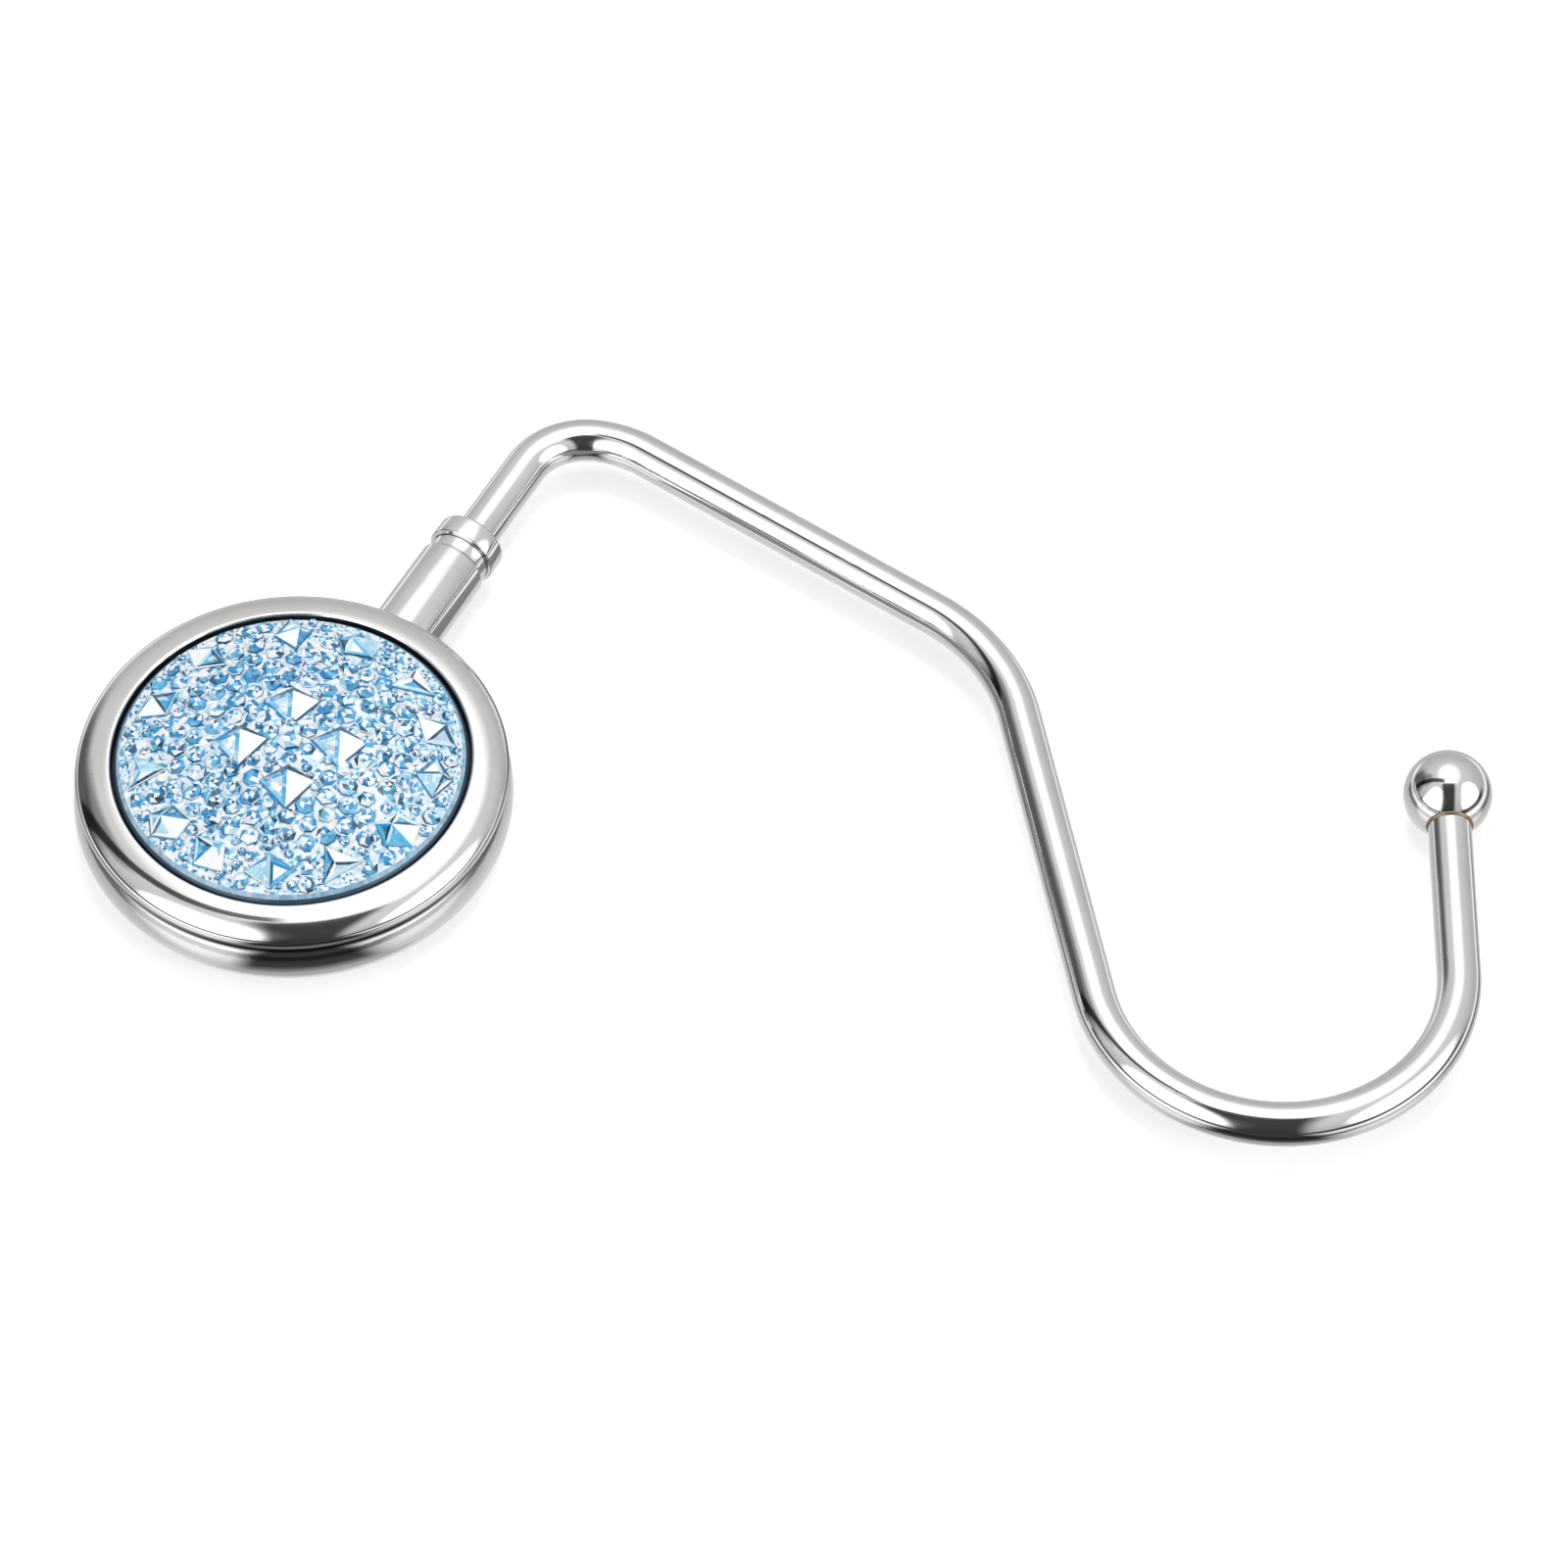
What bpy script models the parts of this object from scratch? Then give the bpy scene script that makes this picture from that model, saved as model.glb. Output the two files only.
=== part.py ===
"""Purse hook: a domed stone-look cabochon in a two-shell metal disc, a short stem, and a wire hook
that swivels about the stem and ends in a ball. The disc lies on its rubber pad, +Z up, and the
stem runs along +Y with the hook spreading towards +X. All sizes are metres."""

import math

import bmesh
import bpy
import numpy as np
from mathutils import Matrix, Vector
from mathutils.geometry import delaunay_2d_cdt

# Stance: the pad lies on the table, and the stem's axis crosses the disc's axis
PAD_PROUD = 0.00065
BODY_HEIGHT = 0.00875
STEM_DROP = 0.0044

# Clearances and overruns
SEAT_GAP = 0.0001
RUN_GAP = 0.0001
FILM_GAP = 0.00005
CUT_OVERRUN = 0.002
EDGE_BREAK = 0.0002
WELD_DISTANCE = 0.000001

# Cabochon, its foil and the glue under it
CABOCHON_RADIUS = 0.0172
CABOCHON_GAP = 0.0003
CABOCHON_EDGE_RISE = 0.00010
DOME_RISE = 0.0026
FOIL_THICKNESS = 0.0001
GLUE_THICKNESS = 0.00015
CHATON_PITCH = 0.00212
CHATON_HEIGHT = 0.00045
TENT_STONE_SIDE = 0.0036
TENT_STONE_HEIGHT = 0.00085
TENT_STONE_ORBIT = 0.0048
RING_STONE_LENGTH = 0.0030
RING_STONE_WIDTH = 0.0026
RING_STONE_HEIGHT = 0.0008
RING_STONE_INSET = 0.0029
CENTRE_STONE_RADIUS = 0.0013
CENTRE_STONE_HEIGHT = 0.0007
LARGE_STONE_GIRDLE = 0.00055
STONE_ROOT = 0.0008
CORNER_MERGE = 0.0002

# Bezel cup: the upper shell with its rounded rim and the tray for the cabochon
RIM_WIDTH = 0.0036
RIM_EDGE_RISE = 0.0005
LIP_ROUND = 0.00025
TRAY_DEPTH = 0.0016
TRAY_FLOOR = 0.0010

# Parting line between the two shells, and the spigot ring that centres them
PARTING_DROP = 0.0026
PARTING_INSET = 0.0005
SPIGOT_INSET = 0.0006
SPIGOT_WIDTH = 0.0012
SPIGOT_RISE = 0.0007

# Base shell: the lower bulge, its floor and the recess for the pad
BULGE_PROUD = 0.0003
BULGE_FILLET = 0.0030
LEDGE_WIDTH = 0.0019
CAVITY_ROUND = 0.0006
FLOOR_THICKNESS = 0.0012
RECESS_DEPTH = 0.00105
BASE_BOSS_RISE = 0.0008

# Grip pad and its adhesive film
PAD_MARGIN = 0.0024
PAD_SIDE_GAP = 0.0002
PAD_EDGE_ROUND = 0.0004
PAD_GROOVE_INSET = 0.0028
PAD_GROOVE_WIDTH = 0.0010
PAD_GROOVE_DEPTH = 0.0003
FILM_THICKNESS = 0.00015

# Countersunk screw that holds the shells together, and the bosses round it
SCREW_RADIUS = 0.00125
SCREW_HEAD_OVERHANG = 0.00105
SCREW_HEAD_HEIGHT = 0.0012
SCREW_COVER = 0.0013
SCREW_SLOT_WIDTH = 0.0005
SCREW_SLOT_DEPTH = 0.0005
BOSS_WALL = 0.00185

# Hook wire: journal in the ferrule, then the bent wire
WIRE_RADIUS = 0.00213
JOURNAL_STEP = 0.00033
CLIP_GROOVE_DEPTH = 0.0004
JOURNAL_TAIL = 0.0006
ROOT_LENGTH = 0.0106
FIRST_BEND_RADIUS = 0.0070
FIRST_EASE_RADIUS = 0.0120
FIRST_ARM_LENGTH = 0.03487
SECOND_BEND_RADIUS = 0.0200
SECOND_ARM_LENGTH = 0.0340
HOOK_RADIUS = 0.01765
TIP_LENGTH = 0.0212
FIRST_BEND_DEGREES = 70.0
FIRST_EASE_DEGREES = 26.0
SECOND_BEND_DEGREES = 44.6
HOOK_BEND_DEGREES = 168.6

# Swivel ferrule: spigot pressed in the tube, open neck, and collar
FERRULE_WALL = 0.0007
FERRULE_SPIGOT_LENGTH = 0.0035
NECK_INSET = 0.00037
NECK_LENGTH = 0.0014
COLLAR_PROUD = 0.00008
COLLAR_LENGTH = 0.0024
COLLAR_EDGE_ROUND = 0.00035

# Stem socket: a tube with a threaded stud, screwed into the side of the disc
STEM_WALL = 0.00075
STEM_SINK = 0.0014
STEM_LENGTH = 0.0109
STEM_EDGE_ROUND = 0.0004
STUD_RADIUS = 0.0015
STUD_LENGTH = 0.0034
BORE_SPARE = 0.00195

# Washer and retaining clip at the journal's inner end
WASHER_THICKNESS = 0.0005
WASHER_PLAY = 0.00015
CLIP_PLAY = 0.0002
CLIP_THICKNESS = 0.0004

# Ball at the hook's tip
BALL_RADIUS = 0.00435
PEG_STEP = 0.00053
PEG_LENGTH = 0.0030
PEG_SPARE = 0.0004
PEG_SINK = 0.0002

# Counts of the turned and bent surfaces
DISC_STEPS = 48
STEM_STEPS = 28
SMALL_STEPS = 20
WIRE_BEVEL_RESOLUTION = 6
BALL_SEGMENTS = 28
BALL_RINGS = 14
TENT_STONES = 4
STONE_SEED = 11

RIM_POINTS = 8
BULGE_POINTS = 6
FILLET_POINTS = 7
EDGE_POINTS = 4
FIRST_BEND_STEPS = 8
FIRST_EASE_STEPS = 3
SECOND_BEND_STEPS = 7
HOOK_BEND_STEPS = 22
CENTRE_STONE_SIDES = 8

# Directions on the disc, in degrees from +X: the first tent stone, and each stone of the outer ring
TENT_STONE_TURN = 27.7
RING_STONE_DEGREES = (-174, -141, -114, -92, -67, -41, -13, 16, 38, 64, 93, 120, 156)

# Where the disc's section curves begin and end, in degrees above the level of their centres
RIM_TOP_DEGREES = 76.0
BULGE_TOP_DEGREES = 50.0
FILLET_TOP_DEGREES = -12.0

# The rim's foot, stone outlines and crowns, and the clip's mouth, as shares of their pieces' own sizes
RIM_FOOT_SHARE = 0.35
KITE_SHARES = [(-0.5, -0.32), (-0.18, -0.5), (0.5, -0.3), (0.42, 0.36), (-0.1, 0.5)]
CHATON_TABLE_SHARE = 0.52
CHATON_SCATTER_SHARE = 0.14
CHATON_EDGE_SHARE = 1.4
TENT_RIDGE_SHARE = 0.72
RING_TABLE_SHARE = 0.2
CENTRE_TABLE_SHARE = 0.55
CLIP_MOUTH_SHARE = 0.73

# Radii of the disc, outwards from the cabochon
LIP_RADIUS = CABOCHON_RADIUS + CABOCHON_GAP
RIM_RADIUS = LIP_RADIUS + RIM_WIDTH
BULGE_RADIUS = RIM_RADIUS + BULGE_PROUD
PARTING_RADIUS = RIM_RADIUS - PARTING_INSET
SPIGOT_INNER_RADIUS = LIP_RADIUS + SPIGOT_INSET
SPIGOT_OUTER_RADIUS = SPIGOT_INNER_RADIUS + SPIGOT_WIDTH
CAVITY_RADIUS = SPIGOT_INNER_RADIUS - LEDGE_WIDTH
RECESS_RADIUS = BULGE_RADIUS - BULGE_FILLET - PAD_MARGIN
PAD_RADIUS = RECESS_RADIUS - PAD_SIDE_GAP
BOSS_RADIUS = SCREW_RADIUS + SEAT_GAP + BOSS_WALL
RING_STONE_ORBIT = CABOCHON_RADIUS - RING_STONE_INSET

# Heights of the disc, upwards from the table
BASE_BOTTOM = PAD_PROUD
LIP_HEIGHT = PAD_PROUD + BODY_HEIGHT
AXIS_HEIGHT = LIP_HEIGHT - STEM_DROP
PARTING_HEIGHT = LIP_HEIGHT - PARTING_DROP
TRAY_HEIGHT = LIP_HEIGHT - TRAY_DEPTH
TRAY_UNDERSIDE = TRAY_HEIGHT - TRAY_FLOOR
RECESS_CEILING = BASE_BOTTOM + RECESS_DEPTH
CAVITY_FLOOR = RECESS_CEILING + FLOOR_THICKNESS
BASE_BOSS_TOP = CAVITY_FLOOR + BASE_BOSS_RISE
SCREW_TIP = TRAY_HEIGHT - SCREW_COVER
CABOCHON_BACK = TRAY_HEIGHT + GLUE_THICKNESS + FOIL_THICKNESS + 3 * FILM_GAP

# Radii of the stem and the swivel, outwards from the wire's journal
JOURNAL_RADIUS = WIRE_RADIUS - JOURNAL_STEP
FERRULE_BORE = JOURNAL_RADIUS + RUN_GAP
FERRULE_SPIGOT_RADIUS = FERRULE_BORE + FERRULE_WALL
BORE_RADIUS = FERRULE_SPIGOT_RADIUS + SEAT_GAP
STEM_RADIUS = BORE_RADIUS + STEM_WALL
NECK_RADIUS = STEM_RADIUS - NECK_INSET
COLLAR_RADIUS = STEM_RADIUS + COLLAR_PROUD
WASHER_RADIUS = BORE_RADIUS - WASHER_PLAY
CLIP_RADIUS = BORE_RADIUS - CLIP_PLAY
CLIP_GROOVE_RADIUS = JOURNAL_RADIUS - CLIP_GROOVE_DEPTH
PEG_RADIUS = WIRE_RADIUS - PEG_STEP

# Places along the stem, outwards from the disc's axis
STEM_SEAT = BULGE_RADIUS - STEM_SINK
STEM_END = STEM_SEAT + STEM_LENGTH
NECK_START = STEM_END + SEAT_GAP
NECK_END = NECK_START + NECK_LENGTH
COLLAR_FACE = NECK_END + COLLAR_LENGTH
ROOT_END = COLLAR_FACE + ROOT_LENGTH
FERRULE_INNER_END = NECK_START - FERRULE_SPIGOT_LENGTH
WASHER_FACE = FERRULE_INNER_END - SEAT_GAP
CLIP_FACE = WASHER_FACE - WASHER_THICKNESS - SEAT_GAP
CLIP_BACK = CLIP_FACE - CLIP_THICKNESS
GROOVE_FACE = CLIP_FACE + SEAT_GAP / 2
GROOVE_BACK = CLIP_BACK - SEAT_GAP / 2
JOURNAL_END = GROOVE_BACK - JOURNAL_TAIL
BORE_BOTTOM = JOURNAL_END - BORE_SPARE
PEG_SHOULDER = math.sqrt(BALL_RADIUS ** 2 - WIRE_RADIUS ** 2) - PEG_SINK


def clear_scene():
    for old in list(bpy.data.objects):
        bpy.data.objects.remove(old, do_unlink=True)


def new_collection(name):
    collection = bpy.data.collections.new(name)
    bpy.context.scene.collection.children.link(collection)
    return collection


clear_scene()
PARTS = new_collection("purse_hook")
CUTTERS = new_collection("cutters")


def finish(name, colour, roughness, metallic):
    """Plain material of one finish."""
    material = bpy.data.materials.new(name)
    material.use_nodes = True
    shader = material.node_tree.nodes["Principled BSDF"]
    shader.inputs["Base Color"].default_value = (*colour, 1.0)
    shader.inputs["Roughness"].default_value = roughness
    shader.inputs["Metallic"].default_value = metallic
    return material


def plated(name):
    return finish(name, (0.78, 0.77, 0.75), 0.12, 1.0)


def place(obj, material, parent=None, collection=PARTS):
    collection.objects.link(obj)
    if parent is not None:
        obj.parent = parent
    if collection is CUTTERS:
        obj.hide_render = True
        obj.display_type = "WIRE"
    else:
        obj.data.materials.append(material)
    return obj


def empty_at(name, location, rotation):
    empty = bpy.data.objects.new(name, None)
    empty.location = location
    empty.rotation_euler = rotation
    PARTS.objects.link(empty)
    return empty


def arc(centre_r, centre_z, radius_r, radius_z, start, end, count):
    """Points of an elliptical arc in a turned profile, angles in degrees from the outward side."""
    angles = np.radians(np.linspace(start, end, count))
    return [(centre_r + radius_r * math.cos(a), centre_z + radius_z * math.sin(a)) for a in angles]


def turned(name, profile, steps, closed):
    """A profile of (radius, height) pairs, top to bottom down its outer side, turned about Z."""
    mesh = bpy.data.meshes.new(name)
    edges = [(i, i + 1) for i in range(len(profile) - 1)]
    if closed:
        edges.append((len(profile) - 1, 0))
    mesh.from_pydata([(r, 0.0, z) for r, z in profile], edges, [])
    obj = bpy.data.objects.new(name, mesh)
    screw = obj.modifiers.new("turn", "SCREW")
    screw.axis = "Z"
    screw.angle = math.tau
    screw.steps = steps
    screw.render_steps = steps
    screw.use_merge_vertices = True
    screw.merge_threshold = WELD_DISTANCE
    screw.use_smooth_shade = False
    return obj


def cut(obj, cutter, operation="DIFFERENCE"):
    boolean = obj.modifiers.new("cut_" + cutter.name, "BOOLEAN")
    boolean.operation = operation
    boolean.object = cutter


def disc_profile(radius, low, high):
    """A plain flat disc's half section."""
    return [(0.0, high), (radius, high), (radius, low), (0.0, low)]


def ring_profile(inner, outer, low, high):
    """A flat ring's section."""
    return [(outer, high), (outer, low), (inner, low), (inner, high)]


# Empties that carry the pieces: the stem's axis, and the swivel that the hook turns about
STEM_AXIS = empty_at("stem_axis", (0.0, 0.0, AXIS_HEIGHT), (-math.pi / 2, 0.0, 0.0))


def wire_route():
    """Centre line of the wire in its own plane, with the ball's centre and the tip's direction. The
    first bend eases out in a wider arc, and where two arcs meet they share a point."""
    points = [Vector((0.0, JOURNAL_END, 0.0))]
    corner = Vector((0.0, ROOT_END, 0.0))
    heading = math.pi / 2
    bends = (
        (FIRST_BEND_RADIUS, -FIRST_BEND_DEGREES, 0.0, FIRST_BEND_STEPS),
        (FIRST_EASE_RADIUS, -FIRST_EASE_DEGREES, FIRST_ARM_LENGTH, FIRST_EASE_STEPS),
        (SECOND_BEND_RADIUS, -SECOND_BEND_DEGREES, SECOND_ARM_LENGTH, SECOND_BEND_STEPS),
        (HOOK_RADIUS, HOOK_BEND_DEGREES, TIP_LENGTH, HOOK_BEND_STEPS),
    )
    for radius, degrees, straight, count in bends:
        side = math.copysign(math.pi / 2, degrees)
        centre = corner + radius * Vector((math.cos(heading + side), math.sin(heading + side), 0.0))
        for step in range(count + 1):
            angle = heading - side + math.radians(degrees) * step / count
            spot = centre + radius * Vector((math.cos(angle), math.sin(angle), 0.0))
            if (spot - points[-1]).length > WELD_DISTANCE:
                points.append(spot)
        heading += math.radians(degrees)
        corner = points[-1] + straight * Vector((math.cos(heading), math.sin(heading), 0.0))
    return points, corner, heading


ROUTE, BALL_CENTRE, TIP_HEADING = wire_route()
REST_TURN = math.asin((AXIS_HEIGHT - BALL_RADIUS) / BALL_CENTRE.x)
SWIVEL = empty_at("swivel", (0.0, 0.0, AXIS_HEIGHT), (0.0, REST_TURN, 0.0))


def stem_opening():
    """Cutter for the tube's seat and the stud's hole, shared by both shells."""
    seat = STEM_RADIUS + SEAT_GAP
    hole = STUD_RADIUS + SEAT_GAP
    profile = [
        (0.0, BULGE_RADIUS + CUT_OVERRUN),
        (seat, BULGE_RADIUS + CUT_OVERRUN),
        (seat, STEM_SEAT - SEAT_GAP),
        (hole, STEM_SEAT - SEAT_GAP),
        (hole, CAVITY_RADIUS - CUT_OVERRUN),
        (0.0, CAVITY_RADIUS - CUT_OVERRUN),
    ]
    return place(turned("stem_opening", profile, STEM_STEPS, False), None, STEM_AXIS, CUTTERS)


STEM_OPENING = stem_opening()


def bezel_cup():
    """Upper shell: rounded rim, tray for the cabochon, boss for the screw underneath."""
    half_gap = SEAT_GAP / 2
    groove_inner = SPIGOT_INNER_RADIUS - SEAT_GAP
    groove_outer = SPIGOT_OUTER_RADIUS + SEAT_GAP
    groove_top = PARTING_HEIGHT + SPIGOT_RISE + SEAT_GAP
    parting_face = PARTING_HEIGHT + half_gap
    profile = [(0.0, TRAY_HEIGHT), (LIP_RADIUS, TRAY_HEIGHT), (LIP_RADIUS, LIP_HEIGHT - LIP_ROUND)]
    profile += [(LIP_RADIUS + LIP_ROUND, LIP_HEIGHT)]
    rim_centre = PARTING_HEIGHT + RIM_EDGE_RISE
    rim_height = LIP_HEIGHT - rim_centre
    foot_angle = -math.degrees(math.asin(RIM_EDGE_RISE * (1 - RIM_FOOT_SHARE) / rim_height))
    profile += arc(LIP_RADIUS, rim_centre, RIM_WIDTH, rim_height, RIM_TOP_DEGREES, foot_angle, RIM_POINTS)
    profile += [(PARTING_RADIUS, parting_face), (groove_outer, parting_face), (groove_outer, groove_top)]
    profile += [(groove_inner, groove_top), (groove_inner, TRAY_UNDERSIDE)]
    profile += [(BOSS_RADIUS, TRAY_UNDERSIDE), (BOSS_RADIUS, BASE_BOSS_TOP + SEAT_GAP)]
    profile += [(0.0, BASE_BOSS_TOP + SEAT_GAP)]
    cup = place(turned("bezel_cup", profile, DISC_STEPS, False), plated("bezel_plating"))
    cut(cup, STEM_OPENING)
    bore = disc_profile(SCREW_RADIUS + SEAT_GAP, BASE_BOSS_TOP - CUT_OVERRUN, SCREW_TIP + SEAT_GAP)
    cut(cup, place(turned("cup_screw_bore", bore, SMALL_STEPS, False), None, None, CUTTERS))


def screw_seat():
    """Cutter for the screw's shank and countersink in the base shell."""
    shank = SCREW_RADIUS + SEAT_GAP
    head = SCREW_RADIUS + SCREW_HEAD_OVERHANG + SEAT_GAP
    head_end = RECESS_CEILING + SCREW_HEAD_HEIGHT
    profile = [(0.0, BASE_BOSS_TOP + CUT_OVERRUN), (shank, BASE_BOSS_TOP + CUT_OVERRUN), (shank, head_end)]
    profile += [(head, RECESS_CEILING + SEAT_GAP), (head, RECESS_CEILING - CUT_OVERRUN)]
    profile += [(0.0, RECESS_CEILING - CUT_OVERRUN)]
    return place(turned("screw_seat", profile, SMALL_STEPS, False), None, None, CUTTERS)


def base_shell():
    """Lower shell: spigot ring, bulged side, pad recess and central boss."""
    half_gap = SEAT_GAP / 2
    parting_face = PARTING_HEIGHT - half_gap
    ledge = TRAY_UNDERSIDE - SEAT_GAP
    bulge_height = BASE_BOTTOM + BULGE_FILLET
    profile = [(0.0, BASE_BOSS_TOP), (BOSS_RADIUS, BASE_BOSS_TOP), (BOSS_RADIUS, CAVITY_FLOOR)]
    profile += [(CAVITY_RADIUS - CAVITY_ROUND, CAVITY_FLOOR), (CAVITY_RADIUS, CAVITY_FLOOR + CAVITY_ROUND)]
    profile += [(CAVITY_RADIUS, ledge), (SPIGOT_INNER_RADIUS, ledge)]
    profile += [(SPIGOT_INNER_RADIUS, PARTING_HEIGHT + SPIGOT_RISE)]
    profile += [(SPIGOT_OUTER_RADIUS, PARTING_HEIGHT + SPIGOT_RISE), (SPIGOT_OUTER_RADIUS, parting_face)]
    top = math.radians(BULGE_TOP_DEGREES)
    round_width = (BULGE_RADIUS - PARTING_RADIUS) / (1 - math.cos(top))
    round_height = (parting_face - bulge_height) / math.sin(top)
    round_centre = BULGE_RADIUS - round_width
    profile += arc(
        round_centre, bulge_height, round_width, round_height, BULGE_TOP_DEGREES, 0, BULGE_POINTS
    )
    fillet_centre = BULGE_RADIUS - BULGE_FILLET
    profile += arc(
        fillet_centre, bulge_height, BULGE_FILLET, BULGE_FILLET, FILLET_TOP_DEGREES, -90, FILLET_POINTS
    )
    profile += [(RECESS_RADIUS, BASE_BOTTOM), (RECESS_RADIUS, RECESS_CEILING), (0.0, RECESS_CEILING)]
    base = place(turned("base_shell", profile, DISC_STEPS, False), plated("base_plating"))
    cut(base, STEM_OPENING)
    cut(base, screw_seat())


def pad_adhesive():
    """Double-sided film between the recess and the pad."""
    high = RECESS_CEILING - FILM_GAP
    profile = disc_profile(PAD_RADIUS, high - FILM_THICKNESS, high)
    film = finish("adhesive_film", (0.85, 0.84, 0.8), 0.5, 0.0)
    place(turned("pad_adhesive", profile, DISC_STEPS, False), film)


def grip_pad():
    """Rubber pad with a rounded edge and one shallow ring groove in the face that meets the table."""
    top = RECESS_CEILING - FILM_THICKNESS - 2 * FILM_GAP
    groove_outer = PAD_RADIUS - PAD_GROOVE_INSET
    groove_inner = groove_outer - PAD_GROOVE_WIDTH
    profile = [(0.0, top), (PAD_RADIUS, top)]
    edge = PAD_RADIUS - PAD_EDGE_ROUND
    profile += arc(edge, PAD_EDGE_ROUND, PAD_EDGE_ROUND, PAD_EDGE_ROUND, 0, -90, EDGE_POINTS)
    profile += [(groove_outer, 0.0), (groove_outer, PAD_GROOVE_DEPTH), (groove_inner, PAD_GROOVE_DEPTH)]
    profile += [(groove_inner, 0.0), (0.0, 0.0)]
    rubber = finish("black_rubber", (0.03, 0.03, 0.032), 0.75, 0.0)
    place(turned("grip_pad", profile, DISC_STEPS, False), rubber)


def shell_screw():
    """Countersunk screw from the recess through the base into the cup's boss, with a slotted head."""
    face = RECESS_CEILING + SEAT_GAP
    head = SCREW_RADIUS + SCREW_HEAD_OVERHANG
    head_end = face + SCREW_HEAD_HEIGHT
    profile = [(0.0, SCREW_TIP), (SCREW_RADIUS - EDGE_BREAK, SCREW_TIP)]
    profile += [(SCREW_RADIUS, SCREW_TIP - EDGE_BREAK), (SCREW_RADIUS, head_end)]
    profile += [(head, face + SEAT_GAP), (head, face)]
    profile += [(0.0, face)]
    steel = finish("zinc_steel", (0.6, 0.6, 0.58), 0.35, 1.0)
    screw = place(turned("shell_screw", profile, SMALL_STEPS, False), steel)
    slot_mesh = bpy.data.meshes.new("screw_slot")
    slot_form = bmesh.new()
    bmesh.ops.create_cube(slot_form, size=1.0)
    length = 2 * head + CUT_OVERRUN
    depth = SCREW_SLOT_DEPTH + CUT_OVERRUN
    bmesh.ops.scale(slot_form, vec=(length, SCREW_SLOT_WIDTH, depth), verts=slot_form.verts)
    centre = face + SCREW_SLOT_DEPTH - depth / 2
    bmesh.ops.translate(slot_form, vec=(0.0, 0.0, centre), verts=slot_form.verts)
    slot_form.to_mesh(slot_mesh)
    slot_form.free()
    cut(screw, place(bpy.data.objects.new("screw_slot", slot_mesh), None, None, CUTTERS))


def cabochon_glue():
    low = TRAY_HEIGHT + FILM_GAP
    profile = disc_profile(CABOCHON_RADIUS, low, low + GLUE_THICKNESS)
    glue = finish("clear_glue", (0.8, 0.8, 0.74), 0.3, 0.0)
    place(turned("cabochon_glue", profile, DISC_STEPS, False), glue)


def foil_backing():
    low = TRAY_HEIGHT + GLUE_THICKNESS + 2 * FILM_GAP
    profile = disc_profile(CABOCHON_RADIUS, low, low + FOIL_THICKNESS)
    foil = finish("silver_foil", (0.85, 0.86, 0.88), 0.15, 1.0)
    place(turned("foil_backing", profile, DISC_STEPS, False), foil)


def dome_height(x, y):
    """Height of the cabochon's dome, a shallow spherical cap."""
    cap = (CABOCHON_RADIUS ** 2 + DOME_RISE ** 2) / (2 * DOME_RISE)
    centre = LIP_HEIGHT + CABOCHON_EDGE_RISE + DOME_RISE - cap
    return centre + math.sqrt(cap * cap - x * x - y * y)


def ring_of_sites(radius, count):
    return [(radius * math.cos(a), radius * math.sin(a)) for a in np.arange(count) * math.tau / count]


def stone_sites():
    """Centres of the small stones: an even spiral, scattered a little, and a ring along the edge. The
    ring's mirror image outside the edge comes last, and bounds the cells along the edge."""
    scatter = np.random.default_rng(STONE_SEED)
    spiral_radius = CABOCHON_RADIUS - CHATON_EDGE_SHARE * CHATON_PITCH
    cell_area = CHATON_PITCH ** 2 * math.sin(math.radians(60.0))
    spiral_count = round(math.pi * spiral_radius ** 2 / cell_area)
    golden_angle = math.pi * (3.0 - math.sqrt(5.0))
    reach = CHATON_PITCH * CHATON_SCATTER_SHARE
    sites = []
    for index in range(spiral_count):
        radius = spiral_radius * math.sqrt((index + 0.5) / spiral_count)
        angle = golden_angle * index
        shift_x, shift_y = scatter.uniform(-reach, reach, 2)
        sites.append((radius * math.cos(angle) + shift_x, radius * math.sin(angle) + shift_y))
    edge_radius = CABOCHON_RADIUS - CHATON_PITCH / 2
    edge_count = round(math.tau * edge_radius / CHATON_PITCH)
    sites += ring_of_sites(edge_radius, edge_count)
    inner_count = len(sites)
    sites += ring_of_sites(edge_radius + CHATON_PITCH, edge_count)
    return sites, inner_count


def circumcentre(a, b, c):
    """Point at one distance from three points."""
    double = 2 * (a.x * (b.y - c.y) + b.x * (c.y - a.y) + c.x * (a.y - b.y))
    corners = ((a, b, c), (b, c, a), (c, a, b))
    x = sum(p.length_squared * (q.y - r.y) for p, q, r in corners) / double
    y = sum(p.length_squared * (r.x - q.x) for p, q, r in corners) / double
    return Vector((x, y))


def stone_cells():
    """Outline of the cell that each small stone fills, as shared corner points and polygons."""
    places, inner_count = stone_sites()
    sites = [Vector(place_xy) for place_xy in places]
    scale = CABOCHON_RADIUS
    unit_sites = [site / scale for site in sites]
    corners_of = {index: [] for index in range(inner_count)}
    triangles = delaunay_2d_cdt(unit_sites, [], [], 0, WELD_DISTANCE)[2]
    corners = []
    for triangle in triangles:
        centre = circumcentre(*(sites[i] for i in triangle))
        match = next((i for i, c in enumerate(corners) if (c - centre).length < CORNER_MERGE), None)
        if match is None:
            match = len(corners)
            corners.append(centre)
        for i in triangle:
            if i < inner_count and match not in corners_of[i]:
                corners_of[i].append(match)
    cells = []
    for index, ring in corners_of.items():
        site = sites[index]
        ring.sort(key=lambda i: math.atan2(corners[i].y - site.y, corners[i].x - site.x))
        cells.append(ring)
    return corners, cells


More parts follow.
